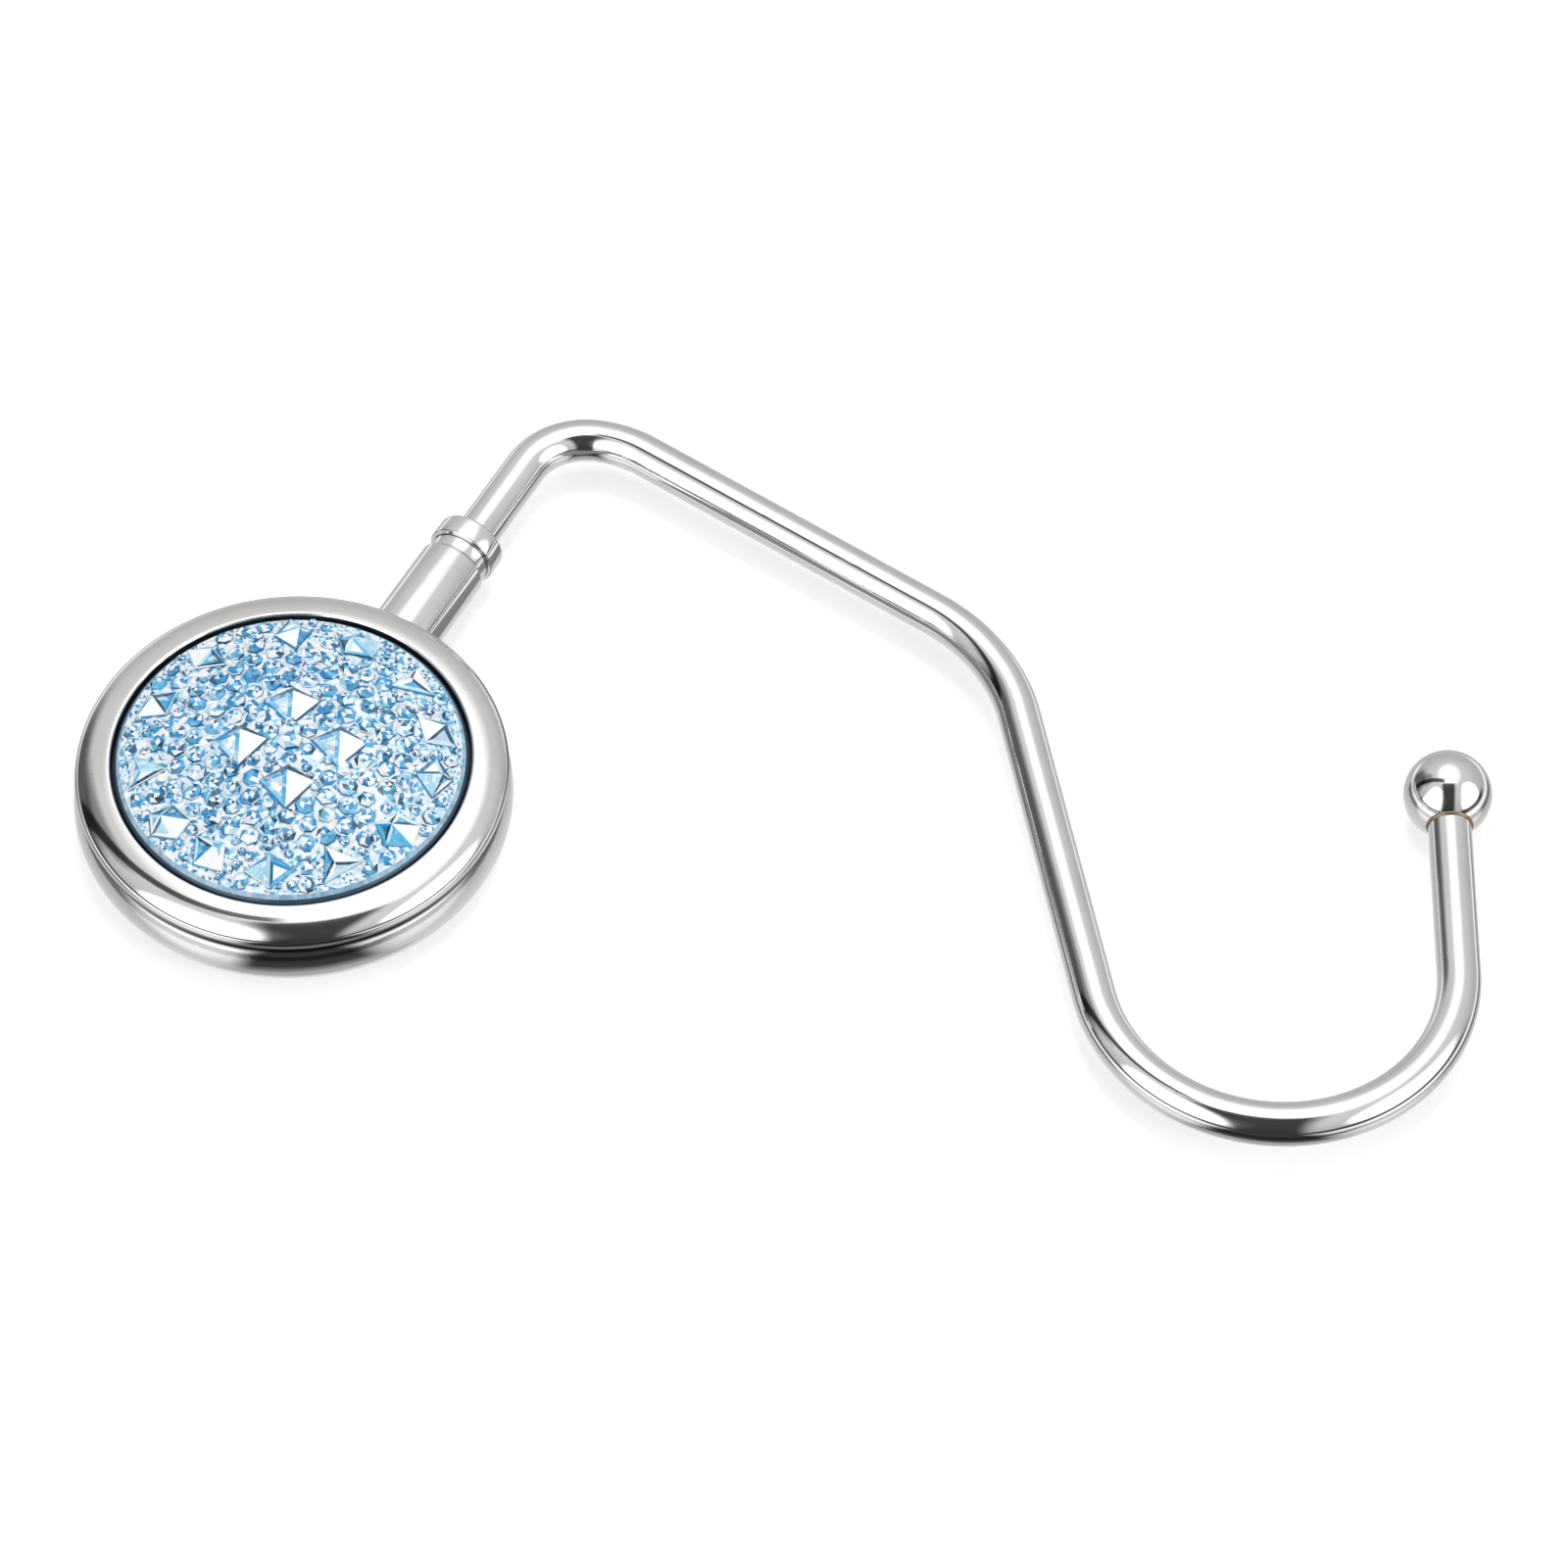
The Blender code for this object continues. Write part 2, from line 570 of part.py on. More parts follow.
def dome_of_small_stones():
    """The cabochon's body: its dome is paved with small flat-topped stones."""
    corners, cells = stone_cells()
    form = bmesh.new()
    used = sorted({i for cell in cells for i in cell})
    limit = CABOCHON_RADIUS
    verts = {}
    for i in used:
        flat = corners[i] if corners[i].length <= limit else corners[i].normalized() * limit
        verts[i] = form.verts.new((flat.x, flat.y, dome_height(flat.x, flat.y)))
    stones = [form.faces.new([verts[i] for i in cell]) for cell in cells]
    rim = [edge for edge in form.edges if edge.is_boundary]
    skirt = bmesh.ops.extrude_edge_only(form, edges=rim)["geom"]
    foot = [item for item in skirt if isinstance(item, bmesh.types.BMVert)]
    for vert in foot:
        vert.co.z = CABOCHON_BACK
    foot_edges = [edge for edge in form.edges if edge.is_boundary]
    bmesh.ops.contextual_create(form, geom=foot_edges)
    bmesh.ops.recalc_face_normals(form, faces=form.faces)
    tables = bmesh.ops.extrude_discrete_faces(form, faces=stones)["faces"]
    for table in tables:
        centre = table.calc_center_median()
        lift = table.normal * CHATON_HEIGHT
        for vert in table.verts:
            vert.co = centre + (vert.co - centre) * CHATON_TABLE_SHARE + lift
    mesh = bpy.data.meshes.new("cabochon")
    form.to_mesh(mesh)
    form.free()
    return bpy.data.objects.new("cabochon", mesh)


def faceted_stone(name, outline, crown, faces, orbit, direction, turn):
    """A large stone standing on the dome: straight walls under a crown of flat facets."""
    count = len(outline)
    form = bmesh.new()
    root = [form.verts.new((x, y, -STONE_ROOT)) for x, y in outline]
    girdle = [form.verts.new((x, y, LARGE_STONE_GIRDLE)) for x, y in outline]
    corners = girdle + [form.verts.new(place_xyz) for place_xyz in crown]
    form.faces.new(list(reversed(root)))
    for i in range(count):
        j = (i + 1) % count
        form.faces.new((root[i], root[j], girdle[j], girdle[i]))
    for face in faces:
        form.faces.new([corners[i] for i in face])
    cap = (CABOCHON_RADIUS ** 2 + DOME_RISE ** 2) / (2 * DOME_RISE)
    sideways = Vector((-math.sin(direction), math.cos(direction), 0.0))
    foot = Vector((orbit * math.cos(direction), orbit * math.sin(direction), 0.0))
    foot.z = dome_height(foot.x, foot.y)
    tilt = Matrix.Rotation(math.asin(orbit / cap), 4, sideways)
    form.transform(Matrix.Translation(foot) @ tilt @ Matrix.Rotation(turn, 4, "Z"))
    mesh = bpy.data.meshes.new(name)
    form.to_mesh(mesh)
    form.free()
    return mesh


def tent_stone(index):
    """Square stone set on its corner, two large planes meeting in a ridge between two corners."""
    half = TENT_STONE_SIDE / math.sqrt(2)
    ridge = half * TENT_RIDGE_SHARE
    outline = [(half, 0.0), (0.0, half), (-half, 0.0), (0.0, -half)]
    crown = [(0.0, ridge, TENT_STONE_HEIGHT), (0.0, -ridge, TENT_STONE_HEIGHT)]
    faces = [(0, 4, 5), (0, 1, 4), (1, 2, 4), (2, 5, 4), (2, 3, 5), (3, 0, 5)]
    turn = math.radians(TENT_STONE_TURN)
    direction = turn + math.tau * index / TENT_STONES
    name = "tent_stone_%d" % (index + 1)
    return faceted_stone(name, outline, crown, faces, TENT_STONE_ORBIT, direction, turn)


def ring_stone(index):
    """Five-sided stone rising to a small table, one of the ring near the dome's edge."""
    outline = [(x * RING_STONE_LENGTH, y * RING_STONE_WIDTH) for x, y in KITE_SHARES]
    crown = [(x * RING_TABLE_SHARE, y * RING_TABLE_SHARE, RING_STONE_HEIGHT) for x, y in outline]
    count = len(outline)
    faces = [(i, (i + 1) % count, count + (i + 1) % count, count + i) for i in range(count)]
    faces.append(tuple(range(count, 2 * count)))
    direction = math.radians(RING_STONE_DEGREES[index])
    turn = direction + math.tau * index * index / len(RING_STONE_DEGREES)
    name = "ring_stone_%d" % (index + 1)
    return faceted_stone(name, outline, crown, faces, RING_STONE_ORBIT, direction, turn)


def centre_stone():
    """Round stone with eight facets round its table, on the crown of the dome."""
    sides = CENTRE_STONE_SIDES
    angles = [math.tau * i / sides for i in range(sides)]
    outline = [(CENTRE_STONE_RADIUS * math.cos(a), CENTRE_STONE_RADIUS * math.sin(a)) for a in angles]
    crown = [(x * CENTRE_TABLE_SHARE, y * CENTRE_TABLE_SHARE, CENTRE_STONE_HEIGHT) for x, y in outline]
    faces = [(i, (i + 1) % sides, sides + (i + 1) % sides, sides + i) for i in range(sides)]
    faces.append(tuple(range(sides, 2 * sides)))
    return faceted_stone("centre_stone", outline, crown, faces, 0.0, 0.0, 0.0)


def cabochon():
    """One moulded piece: small stones over a dome, joined with the large faceted stones."""
    body = place(dome_of_small_stones(), finish("ice_blue_resin", (0.55, 0.78, 0.92), 0.08, 0.0))
    joined = bmesh.new()
    for index in range(TENT_STONES):
        joined.from_mesh(tent_stone(index))
    for index in range(len(RING_STONE_DEGREES)):
        joined.from_mesh(ring_stone(index))
    joined.from_mesh(centre_stone())
    mesh = bpy.data.meshes.new("large_stones")
    joined.to_mesh(mesh)
    joined.free()
    cut(body, place(bpy.data.objects.new("large_stones", mesh), None, None, CUTTERS), "UNION")


def stem_socket():
    """Tube with a rounded mouth, a blind bore from the outer end and a stud at the inner end."""
    profile = [(0.0, BORE_BOTTOM), (BORE_RADIUS, BORE_BOTTOM), (BORE_RADIUS, STEM_END)]
    edge = STEM_RADIUS - STEM_EDGE_ROUND
    mouth = STEM_END - STEM_EDGE_ROUND
    profile += arc(edge, mouth, STEM_EDGE_ROUND, STEM_EDGE_ROUND, 90, 0, EDGE_POINTS)
    stud_end = STEM_SEAT - STUD_LENGTH
    profile += [(STEM_RADIUS, STEM_SEAT), (STUD_RADIUS, STEM_SEAT), (STUD_RADIUS, stud_end + EDGE_BREAK)]
    profile += [(STUD_RADIUS - EDGE_BREAK, stud_end), (0.0, stud_end)]
    place(turned("stem_socket", profile, STEM_STEPS, False), plated("stem_plating"), STEM_AXIS)


def swivel_ferrule():
    """Turned bush: thin spigot in the tube, neck with an open groove, collar, bore for the journal."""
    edge = COLLAR_RADIUS - COLLAR_EDGE_ROUND
    profile = [(FERRULE_BORE, COLLAR_FACE)]
    face = COLLAR_FACE - COLLAR_EDGE_ROUND
    profile += arc(edge, face, COLLAR_EDGE_ROUND, COLLAR_EDGE_ROUND, 90, 0, EDGE_POINTS)
    profile += [(COLLAR_RADIUS, NECK_END), (NECK_RADIUS, NECK_END), (NECK_RADIUS, NECK_START)]
    profile += [(FERRULE_SPIGOT_RADIUS, NECK_START), (FERRULE_SPIGOT_RADIUS, FERRULE_INNER_END)]
    profile += [(FERRULE_BORE, FERRULE_INNER_END)]
    place(turned("swivel_ferrule", profile, STEM_STEPS, True), plated("ferrule_plating"), STEM_AXIS)


def thrust_washer():
    back = WASHER_FACE - WASHER_THICKNESS
    profile = ring_profile(FERRULE_BORE, WASHER_RADIUS, back, WASHER_FACE)
    nylon = finish("nylon", (0.85, 0.83, 0.78), 0.5, 0.0)
    place(turned("thrust_washer", profile, STEM_STEPS, True), nylon, STEM_AXIS)


def retaining_clip():
    """Snap ring in the journal's groove, open on one side."""
    inner = CLIP_GROOVE_RADIUS + SEAT_GAP
    mouth = math.asin(CLIP_MOUTH_SHARE)
    angles = np.linspace(mouth, math.tau - mouth, SMALL_STEPS)
    outline = [(CLIP_RADIUS * math.cos(a), CLIP_RADIUS * math.sin(a)) for a in angles]
    outline += [(inner * math.cos(a), inner * math.sin(a)) for a in reversed(angles)]
    curve = bpy.data.curves.new("retaining_clip", "CURVE")
    curve.dimensions = "2D"
    curve.fill_mode = "BOTH"
    curve.extrude = CLIP_THICKNESS / 2
    spline = curve.splines.new("POLY")
    spline.points.add(len(outline) - 1)
    for point, (x, y) in zip(spline.points, outline):
        point.co = (x, y, 0.0, 1.0)
    spline.use_cyclic_u = True
    clip = mesh_from_curve("retaining_clip", curve, Matrix.Identity(4))
    clip.rotation_euler = (-math.pi / 2, 0.0, 0.0)
    clip.location = (0.0, (CLIP_FACE + CLIP_BACK) / 2, 0.0)
    place(clip, finish("spring_steel", (0.45, 0.45, 0.46), 0.35, 1.0), SWIVEL)


def mesh_from_curve(name, curve, matrix):
    """A closed mesh made from a curve, with its caps welded."""
    guide = bpy.data.objects.new(name + "_guide", curve)
    bpy.context.scene.collection.objects.link(guide)
    graph = bpy.context.evaluated_depsgraph_get()
    mesh = bpy.data.meshes.new_from_object(guide.evaluated_get(graph))
    bpy.data.objects.remove(guide, do_unlink=True)
    form = bmesh.new()
    form.from_mesh(mesh)
    bmesh.ops.remove_doubles(form, verts=form.verts, dist=WELD_DISTANCE)
    bmesh.ops.recalc_face_normals(form, faces=form.faces)
    form.to_mesh(mesh)
    form.free()
    mesh.name = name
    obj = bpy.data.objects.new(name, mesh)
    obj.matrix_world = matrix
    return obj


def journal_cutter():
    """Ring that turns the wire's inner end down to its journal and cuts the clip's groove."""
    outer = WIRE_RADIUS + CUT_OVERRUN
    shoulder = COLLAR_FACE + SEAT_GAP
    low = JOURNAL_END - CUT_OVERRUN
    profile = [(outer, shoulder), (outer, low), (JOURNAL_RADIUS, low), (JOURNAL_RADIUS, GROOVE_BACK)]
    profile += [(CLIP_GROOVE_RADIUS, GROOVE_BACK), (CLIP_GROOVE_RADIUS, GROOVE_FACE)]
    profile += [(JOURNAL_RADIUS, GROOVE_FACE), (JOURNAL_RADIUS, shoulder)]
    cutter = turned("journal_cutter", profile, STEM_STEPS, True)
    cutter.rotation_euler = (-math.pi / 2, 0.0, 0.0)
    return place(cutter, None, SWIVEL, CUTTERS)


def tip_matrix():
    """Frame at the ball's centre with its Z along the tip's direction."""
    turn = Matrix.Rotation(TIP_HEADING - math.pi / 2, 4, "Z") @ Matrix.Rotation(-math.pi / 2, 4, "X")
    return Matrix.Translation(BALL_CENTRE) @ turn


def peg_cutter():
    """Ring that turns the wire's tip down to the peg inside the ball."""
    profile = ring_profile(PEG_RADIUS, WIRE_RADIUS + CUT_OVERRUN, -PEG_SHOULDER, BALL_RADIUS)
    cutter = turned("peg_cutter", profile, STEM_STEPS, True)
    cutter.matrix_local = tip_matrix()
    return place(cutter, None, SWIVEL, CUTTERS)


def hook_wire():
    """Round wire along its route, with the journal at one end and the peg at the other."""
    forward = Vector((math.cos(TIP_HEADING), math.sin(TIP_HEADING), 0.0))
    points = ROUTE + [BALL_CENTRE + (PEG_LENGTH - PEG_SHOULDER) * forward]
    curve = bpy.data.curves.new("hook_wire", "CURVE")
    curve.dimensions = "3D"
    curve.fill_mode = "FULL"
    curve.bevel_depth = WIRE_RADIUS
    curve.bevel_resolution = WIRE_BEVEL_RESOLUTION
    curve.use_fill_caps = True
    spline = curve.splines.new("POLY")
    spline.points.add(len(points) - 1)
    for point, co in zip(spline.points, points):
        point.co = (*co, 1.0)
    wire = place(mesh_from_curve("hook_wire", curve, Matrix.Identity(4)), plated("wire_plating"), SWIVEL)
    cut(wire, journal_cutter())
    cut(wire, peg_cutter())


def ball_tip():
    """Ball bored for the peg, with a shallow seat for the wire's shoulder."""
    mesh = bpy.data.meshes.new("ball_tip")
    form = bmesh.new()
    bmesh.ops.create_uvsphere(form, u_segments=BALL_SEGMENTS, v_segments=BALL_RINGS, radius=BALL_RADIUS)
    form.to_mesh(mesh)
    form.free()
    ball = bpy.data.objects.new("ball_tip", mesh)
    ball.matrix_local = tip_matrix()
    place(ball, plated("ball_plating"), SWIVEL)
    seat = WIRE_RADIUS + SEAT_GAP
    bore = PEG_RADIUS + SEAT_GAP
    step = SEAT_GAP - PEG_SHOULDER
    bottom = PEG_LENGTH - PEG_SHOULDER + PEG_SPARE
    mouth = -BALL_RADIUS - CUT_OVERRUN
    profile = [(0.0, bottom), (bore, bottom), (bore, step), (seat, step), (seat, mouth), (0.0, mouth)]
    cutter = turned("ball_bore", profile, STEM_STEPS, False)
    cutter.matrix_local = tip_matrix()
    cut(ball, place(cutter, None, SWIVEL, CUTTERS))


def shade_round_pieces():
    for obj in PARTS.objects:
        if obj.type == "MESH" and obj.name != "cabochon":
            obj.data.shade_smooth()


bezel_cup()
base_shell()
pad_adhesive()
grip_pad()
shell_screw()
cabochon_glue()
foil_backing()
cabochon()
stem_socket()
swivel_ferrule()
thrust_washer()
retaining_clip()
hook_wire()
ball_tip()
shade_round_pieces()
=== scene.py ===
"""Looks of the purse hook: polished plating, a faceted ice-blue cabochon and a rubber pad, built
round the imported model. All lengths are in metres."""

import math

import bpy
import numpy as np
from mathutils import Matrix, Vector


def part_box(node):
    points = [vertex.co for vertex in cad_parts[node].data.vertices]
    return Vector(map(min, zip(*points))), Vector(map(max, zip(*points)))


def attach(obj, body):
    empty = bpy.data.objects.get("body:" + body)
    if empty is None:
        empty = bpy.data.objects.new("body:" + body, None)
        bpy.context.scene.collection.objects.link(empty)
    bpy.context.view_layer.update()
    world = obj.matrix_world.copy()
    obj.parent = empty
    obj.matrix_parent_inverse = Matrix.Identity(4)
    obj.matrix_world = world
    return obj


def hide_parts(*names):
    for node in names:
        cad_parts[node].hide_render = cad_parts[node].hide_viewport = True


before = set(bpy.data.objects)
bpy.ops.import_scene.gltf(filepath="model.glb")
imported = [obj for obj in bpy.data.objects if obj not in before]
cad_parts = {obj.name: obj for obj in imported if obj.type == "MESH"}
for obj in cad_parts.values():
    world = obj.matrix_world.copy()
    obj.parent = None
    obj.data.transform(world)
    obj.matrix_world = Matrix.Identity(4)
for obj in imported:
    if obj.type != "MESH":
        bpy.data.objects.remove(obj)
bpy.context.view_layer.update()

MM = 0.001

# Set: the camera looks down at the hook from the disc's side. The floor and the world are plain white
# and the lamps are three soft boxes. A light tent of cloth stands round it all, which only polished
# metal sees: its glowing panels and its dark gap behind the camera draw the bands on the plating.
CAMERA_PLACE = Vector((0.2204, -0.3169, 0.5235))
CAMERA_TARGET = Vector((0.0418, 0.0231, 0.0050))
CAMERA_ROLL = math.radians(0.96)
CAMERA_LENS = 152.05
CAMERA_CLIP = 0.01
CAMERA_AZIMUTH = 27.7
SET_CENTRE = Vector((0.04, 0.02, 0.005))


def deselect():
    bpy.ops.object.select_all(action="DESELECT")


def named(name):
    """Names the object that was just added, and hands it back."""
    bpy.context.object.name = name
    return bpy.context.object


def edit_all():
    """Opens the active piece for editing, with all of it selected."""
    bpy.ops.object.mode_set(mode="EDIT")
    bpy.ops.mesh.select_all(action="SELECT")


def end_edit():
    bpy.ops.object.mode_set(mode="OBJECT")


def new_material(name):
    material = bpy.data.materials.new(name)
    material.use_nodes = True
    return material, material.node_tree, material.node_tree.nodes["Principled BSDF"]


def heading(azimuth, elevation):
    """Direction from the set's centre, azimuth in degrees to the right of the camera's own heading."""
    turn = math.radians(90.0 + CAMERA_AZIMUTH - azimuth)
    rise = math.radians(elevation)
    return Vector((math.cos(turn) * math.cos(rise), math.sin(turn) * math.cos(rise), math.sin(rise)))


def towards(right, ahead, rise):
    """Direction given by its shares to the camera's right, straight ahead of it and up."""
    return (right * heading(90.0, 0.0) + ahead * heading(0.0, 0.0) + Vector((0.0, 0.0, rise))).normalized()


def maths(tree, operation, *values):
    """Output of a maths node on numbers or sockets."""
    node = tree.nodes.new("ShaderNodeMath")
    node.operation = operation
    for socket, value in zip(node.inputs, values):
        if isinstance(value, bpy.types.NodeSocket):
            tree.links.new(value, socket)
        else:
            socket.default_value = value
    return node.outputs[0]


def spread(tree, value, low, high, to_low=0.0, to_high=1.0, soft=False):
    """Maps low to to_low and high to to_high, in a straight line or with soft ends."""
    node = tree.nodes.new("ShaderNodeMapRange")
    node.interpolation_type = "SMOOTHSTEP" if soft else "LINEAR"
    tree.links.new(value, node.inputs["Value"])
    for socket, number in (("From Min", low), ("From Max", high), ("To Min", to_low), ("To Max", to_high)):
        node.inputs[socket].default_value = number
    return node.outputs["Result"]


def along(tree, vector, direction):
    """How far a vector socket points along a direction."""
    node = tree.nodes.new("ShaderNodeVectorMath")
    node.operation = "DOT_PRODUCT"
    tree.links.new(vector, node.inputs[0])
    node.inputs[1].default_value = direction
    return node.outputs["Value"]


def own_place(tree):
    """The piece's own coordinates."""
    return tree.nodes.new("ShaderNodeTexCoord").outputs["Object"]


def seen_directly(tree):
    """1 for rays from the camera and for reflected and refracted ones, 0 for light that lights things."""
    path = tree.nodes.new("ShaderNodeLightPath")
    seen = maths(tree, "MAXIMUM", path.outputs["Is Camera Ray"], path.outputs["Is Glossy Ray"])
    return maths(tree, "MAXIMUM", seen, path.outputs["Is Transmission Ray"])


bpy.ops.object.camera_add(location=CAMERA_PLACE)
camera = bpy.context.object
look = (CAMERA_TARGET - CAMERA_PLACE).to_track_quat("-Z", "Y").to_matrix().to_4x4()
camera.matrix_world = Matrix.Translation(CAMERA_PLACE) @ look @ Matrix.Rotation(CAMERA_ROLL, 4, "Z")
camera.data.lens = CAMERA_LENS
camera.data.clip_start = CAMERA_CLIP
bpy.context.scene.camera = camera
bpy.context.scene.view_settings.view_transform = "Standard"

WALL_LEVEL = 0.5
world = bpy.data.worlds.new("white_room")
bpy.context.scene.world = world
world.use_nodes = True
tree = world.node_tree
background = tree.nodes["Background"]
background.inputs["Color"].default_value = (1.0, 1.0, 1.0, 1.0)
tree.links.new(spread(tree, seen_directly(tree), 0.0, 1.0, WALL_LEVEL, 1.0), background.inputs["Strength"])

FLOOR_SIZE = 4.0
FLOOR_WHITE = (0.86, 0.86, 0.86, 1.0)
FLOOR_LIFT = 0.45
deselect()
bpy.ops.mesh.primitive_plane_add(size=FLOOR_SIZE, location=(0.0, 0.0, 0.0))
floor = named("floor")
material, tree, shader = new_material("floor_white")
shader.inputs["Base Color"].default_value = FLOOR_WHITE
shader.inputs["Roughness"].default_value = 0.9
shader.inputs["Specular IOR Level"].default_value = 0.0
shader.inputs["Emission Color"].default_value = (1.0, 1.0, 1.0, 1.0)
tree.links.new(maths(tree, "MULTIPLY", seen_directly(tree), FLOOR_LIFT), shader.inputs["Emission Strength"])
floor.data.materials.append(material)

LAMPS = {
    "overhead": {"azimuth": 12.0, "elevation": 73.0, "distance": 0.75, "size": 0.40, "watts": 2.25},
    "left_box": {"azimuth": 236.0, "elevation": 27.0, "distance": 0.75, "size": 0.34, "watts": 0.85},
    "right_box": {"azimuth": 124.0, "elevation": 35.0, "distance": 0.75, "size": 0.38, "watts": 1.05},
}
for name, lamp in LAMPS.items():
    aim = heading(lamp["azimuth"], lamp["elevation"])
    deselect()
    bpy.ops.object.light_add(type="AREA", location=SET_CENTRE + aim * lamp["distance"])
    light = named(name)
    light.data.shape = "DISK"
    light.data.size = lamp["size"]
    light.data.energy = lamp["watts"]
    light.rotation_euler = aim.to_track_quat("Z", "Y").to_euler()
    light.visible_camera = False
    light.visible_glossy = False


# The tent's shades lie by direction: rise, right and ahead are its shares, from -1 to 1.
TENT_RADIUS = 0.75
WALL_SHADE, WALL_FOOT = 0.60, 0.05
CEILING_SHADE, CEILING_RISE = 0.84, 0.85
TABLE_SHADE, TABLE_LIFT = 0.62, 0.2
TABLE_LIFTED, TABLE_LEVEL = -0.9, -0.5
HORIZON_SOFT = 0.02
PANELS = (
    {"direction": towards(-0.64, -0.62, 0.45), "core": 18.0, "edge": 40.0, "strength": 2.0},
    {"direction": towards(0.80, -0.40, 0.45), "core": 18.0, "edge": 34.0, "strength": 2.0},
)
# Painted reflections of the two side panels in the table, below the horizon.
MIRRORED = (
    {"direction": towards(-0.70, -0.60, -0.30), "core": 10.0, "edge": 32.0, "strength": 0.65},
    {"direction": towards(0.79, -0.44, -0.42), "core": 8.0, "edge": 26.0, "strength": 0.45},
)
LEFT_SLANT, LEFT_EDGE, LEFT_SOFT = -0.45, 0.0, 0.14
RIGHT_EDGE, RIGHT_SOFT = 0.52, 0.10
OVERHEAD = {"right": 0.05, "ahead": 0.22, "width": 0.36, "depth": 0.43, "core": 0.2, "edge": 2.1}
CORNERS = (
    {"direction": towards(-0.86, 0.40, 0.12), "core": 12.0, "edge": 31.0, "strength": 0.78},
    {"direction": towards(-0.76, 0.27, 0.59), "core": 7.0, "edge": 20.0, "strength": 0.60},
)
GAP_MIDDLE, GAP_HALF, GAP_SOFT = 0.03, 0.20, 0.16
GAP_SPREAD, GAP_SPREAD_RISE = 0.12, -0.35
GAP_TOP, GAP_TOP_SOFT = 0.08, 0.10
GAP_FOOT, GAP_FOOT_SHARE = (-0.88, -0.62), 0.40
GAP_DEPTH = 0.92
SEAM_SLANT, SEAM_AHEAD, SEAM_HALF, SEAM_SOFT, SEAM_DEPTH = 0.33, -0.06, 0.065, 0.06, 0.88
SLIT_RISE, SLIT_HALF, SLIT_SOFT, SLIT_DEPTH = 0.02, 0.05, 0.06, 0.9
LINE_RISE, LINE_HALF, LINE_SOFT, LINE_STRENGTH = -0.19, 0.03, 0.09, 0.6
BAND_RISE, BAND_HALF, BAND_SOFT, BAND_DEPTH = -0.38, 0.05, 0.08, 0.65
SEAM_FADE, SLIT_FADE, LINE_FADE, BAND_FADE = (-0.08, -0.18), (0.3, 0.0), (0.30, 0.55), (0.65, 0.45)
deselect()
bpy.ops.mesh.primitive_uv_sphere_add(
    segments=96, ring_count=48, radius=TENT_RADIUS, location=(CAMERA_TARGET.x, CAMERA_TARGET.y, 0.0)
)
tent = named("light_tent")
edit_all()
bpy.ops.mesh.flip_normals()
end_edit()
material, tree, shader = new_material("tent_cloth")
unit = tree.nodes.new("ShaderNodeVectorMath")
unit.operation = "NORMALIZE"
tree.links.new(own_place(tree), unit.inputs[0])
way = unit.outputs["Vector"]
right = along(tree, way, heading(90.0, 0.0))
ahead = along(tree, way, heading(0.0, 0.0))
rise = along(tree, way, (0.0, 0.0, 1.0))


def plus(first, second):
    return maths(tree, "ADD", first, second)


def times(first, second):
    return maths(tree, "MULTIPLY", first, second)


def dimmed(shade, dark):
    return times(shade, maths(tree, "SUBTRACT", 1.0, dark))


def off(value, middle):
    return maths(tree, "ABSOLUTE", maths(tree, "SUBTRACT", value, middle))


def fade(value, start, full):
    """Grows from 0 to 1 between two values, with soft ends."""
    return spread(tree, value, start, full, soft=True)


def strip(value, middle, half, soft, height=1.0):
    """A soft-edged strip of the tent where a value is near its middle."""
    return spread(tree, off(value, middle), half, half + soft, height, 0.0, soft=True)


def spot(patch):
    """A round spot of the tent, its core and its edge in degrees from its middle."""
    core, edge = (math.cos(math.radians(patch[part])) for part in ("core", "edge"))
    near_middle = along(tree, way, patch["direction"])
    return spread(tree, near_middle, edge, core, 0.0, patch["strength"], soft=True)


def only_glows(tree, shader, strength):
    """Makes a material a plain glow, of the strength that its reflection shows."""
    glow = tree.nodes.new("ShaderNodeEmission")
    tree.links.new(strength, glow.inputs["Strength"])
    tree.links.new(glow.outputs[0], tree.nodes["Material Output"].inputs["Surface"])
    tree.nodes.remove(shader)


def only_reflected(obj):
    """Hides an object of the set from all but the metal's reflections."""
    obj.visible_camera = False
    obj.visible_diffuse = False
    obj.visible_shadow = False
    obj.visible_transmission = False


wall = spread(tree, rise, WALL_FOOT, CEILING_RISE, WALL_SHADE, CEILING_SHADE, soft=True)
table = spread(tree, rise, TABLE_LIFTED, TABLE_LEVEL, TABLE_SHADE + TABLE_LIFT, TABLE_SHADE, soft=True)
above = spread(tree, rise, -HORIZON_SOFT, HORIZON_SOFT)
shade = plus(times(wall, above), dimmed(table, above))
left_mask = fade(plus(ahead, times(right, LEFT_SLANT)), LEFT_EDGE + LEFT_SOFT, LEFT_EDGE)
right_mask = fade(right, RIGHT_EDGE, RIGHT_EDGE + RIGHT_SOFT)
for panel, mask in zip(PANELS, (left_mask, right_mask)):
    shade = plus(shade, times(times(spot(panel), mask), above))
off_right = maths(tree, "DIVIDE", maths(tree, "SUBTRACT", right, OVERHEAD["right"]), OVERHEAD["width"])
off_ahead = maths(tree, "DIVIDE", maths(tree, "SUBTRACT", ahead, OVERHEAD["ahead"]), OVERHEAD["depth"])
off_panel = plus(maths(tree, "POWER", off_right, 2.0), maths(tree, "POWER", off_ahead, 2.0))
shade = plus(shade, times(fade(off_panel, OVERHEAD["edge"], OVERHEAD["core"]), above))
for corner in CORNERS:
    shade = dimmed(shade, spot(corner))
seam = strip(plus(ahead, times(right, SEAM_SLANT)), SEAM_AHEAD, SEAM_HALF, SEAM_SOFT, SEAM_DEPTH)
shade = dimmed(shade, times(times(seam, fade(right, *SEAM_FADE)), above))
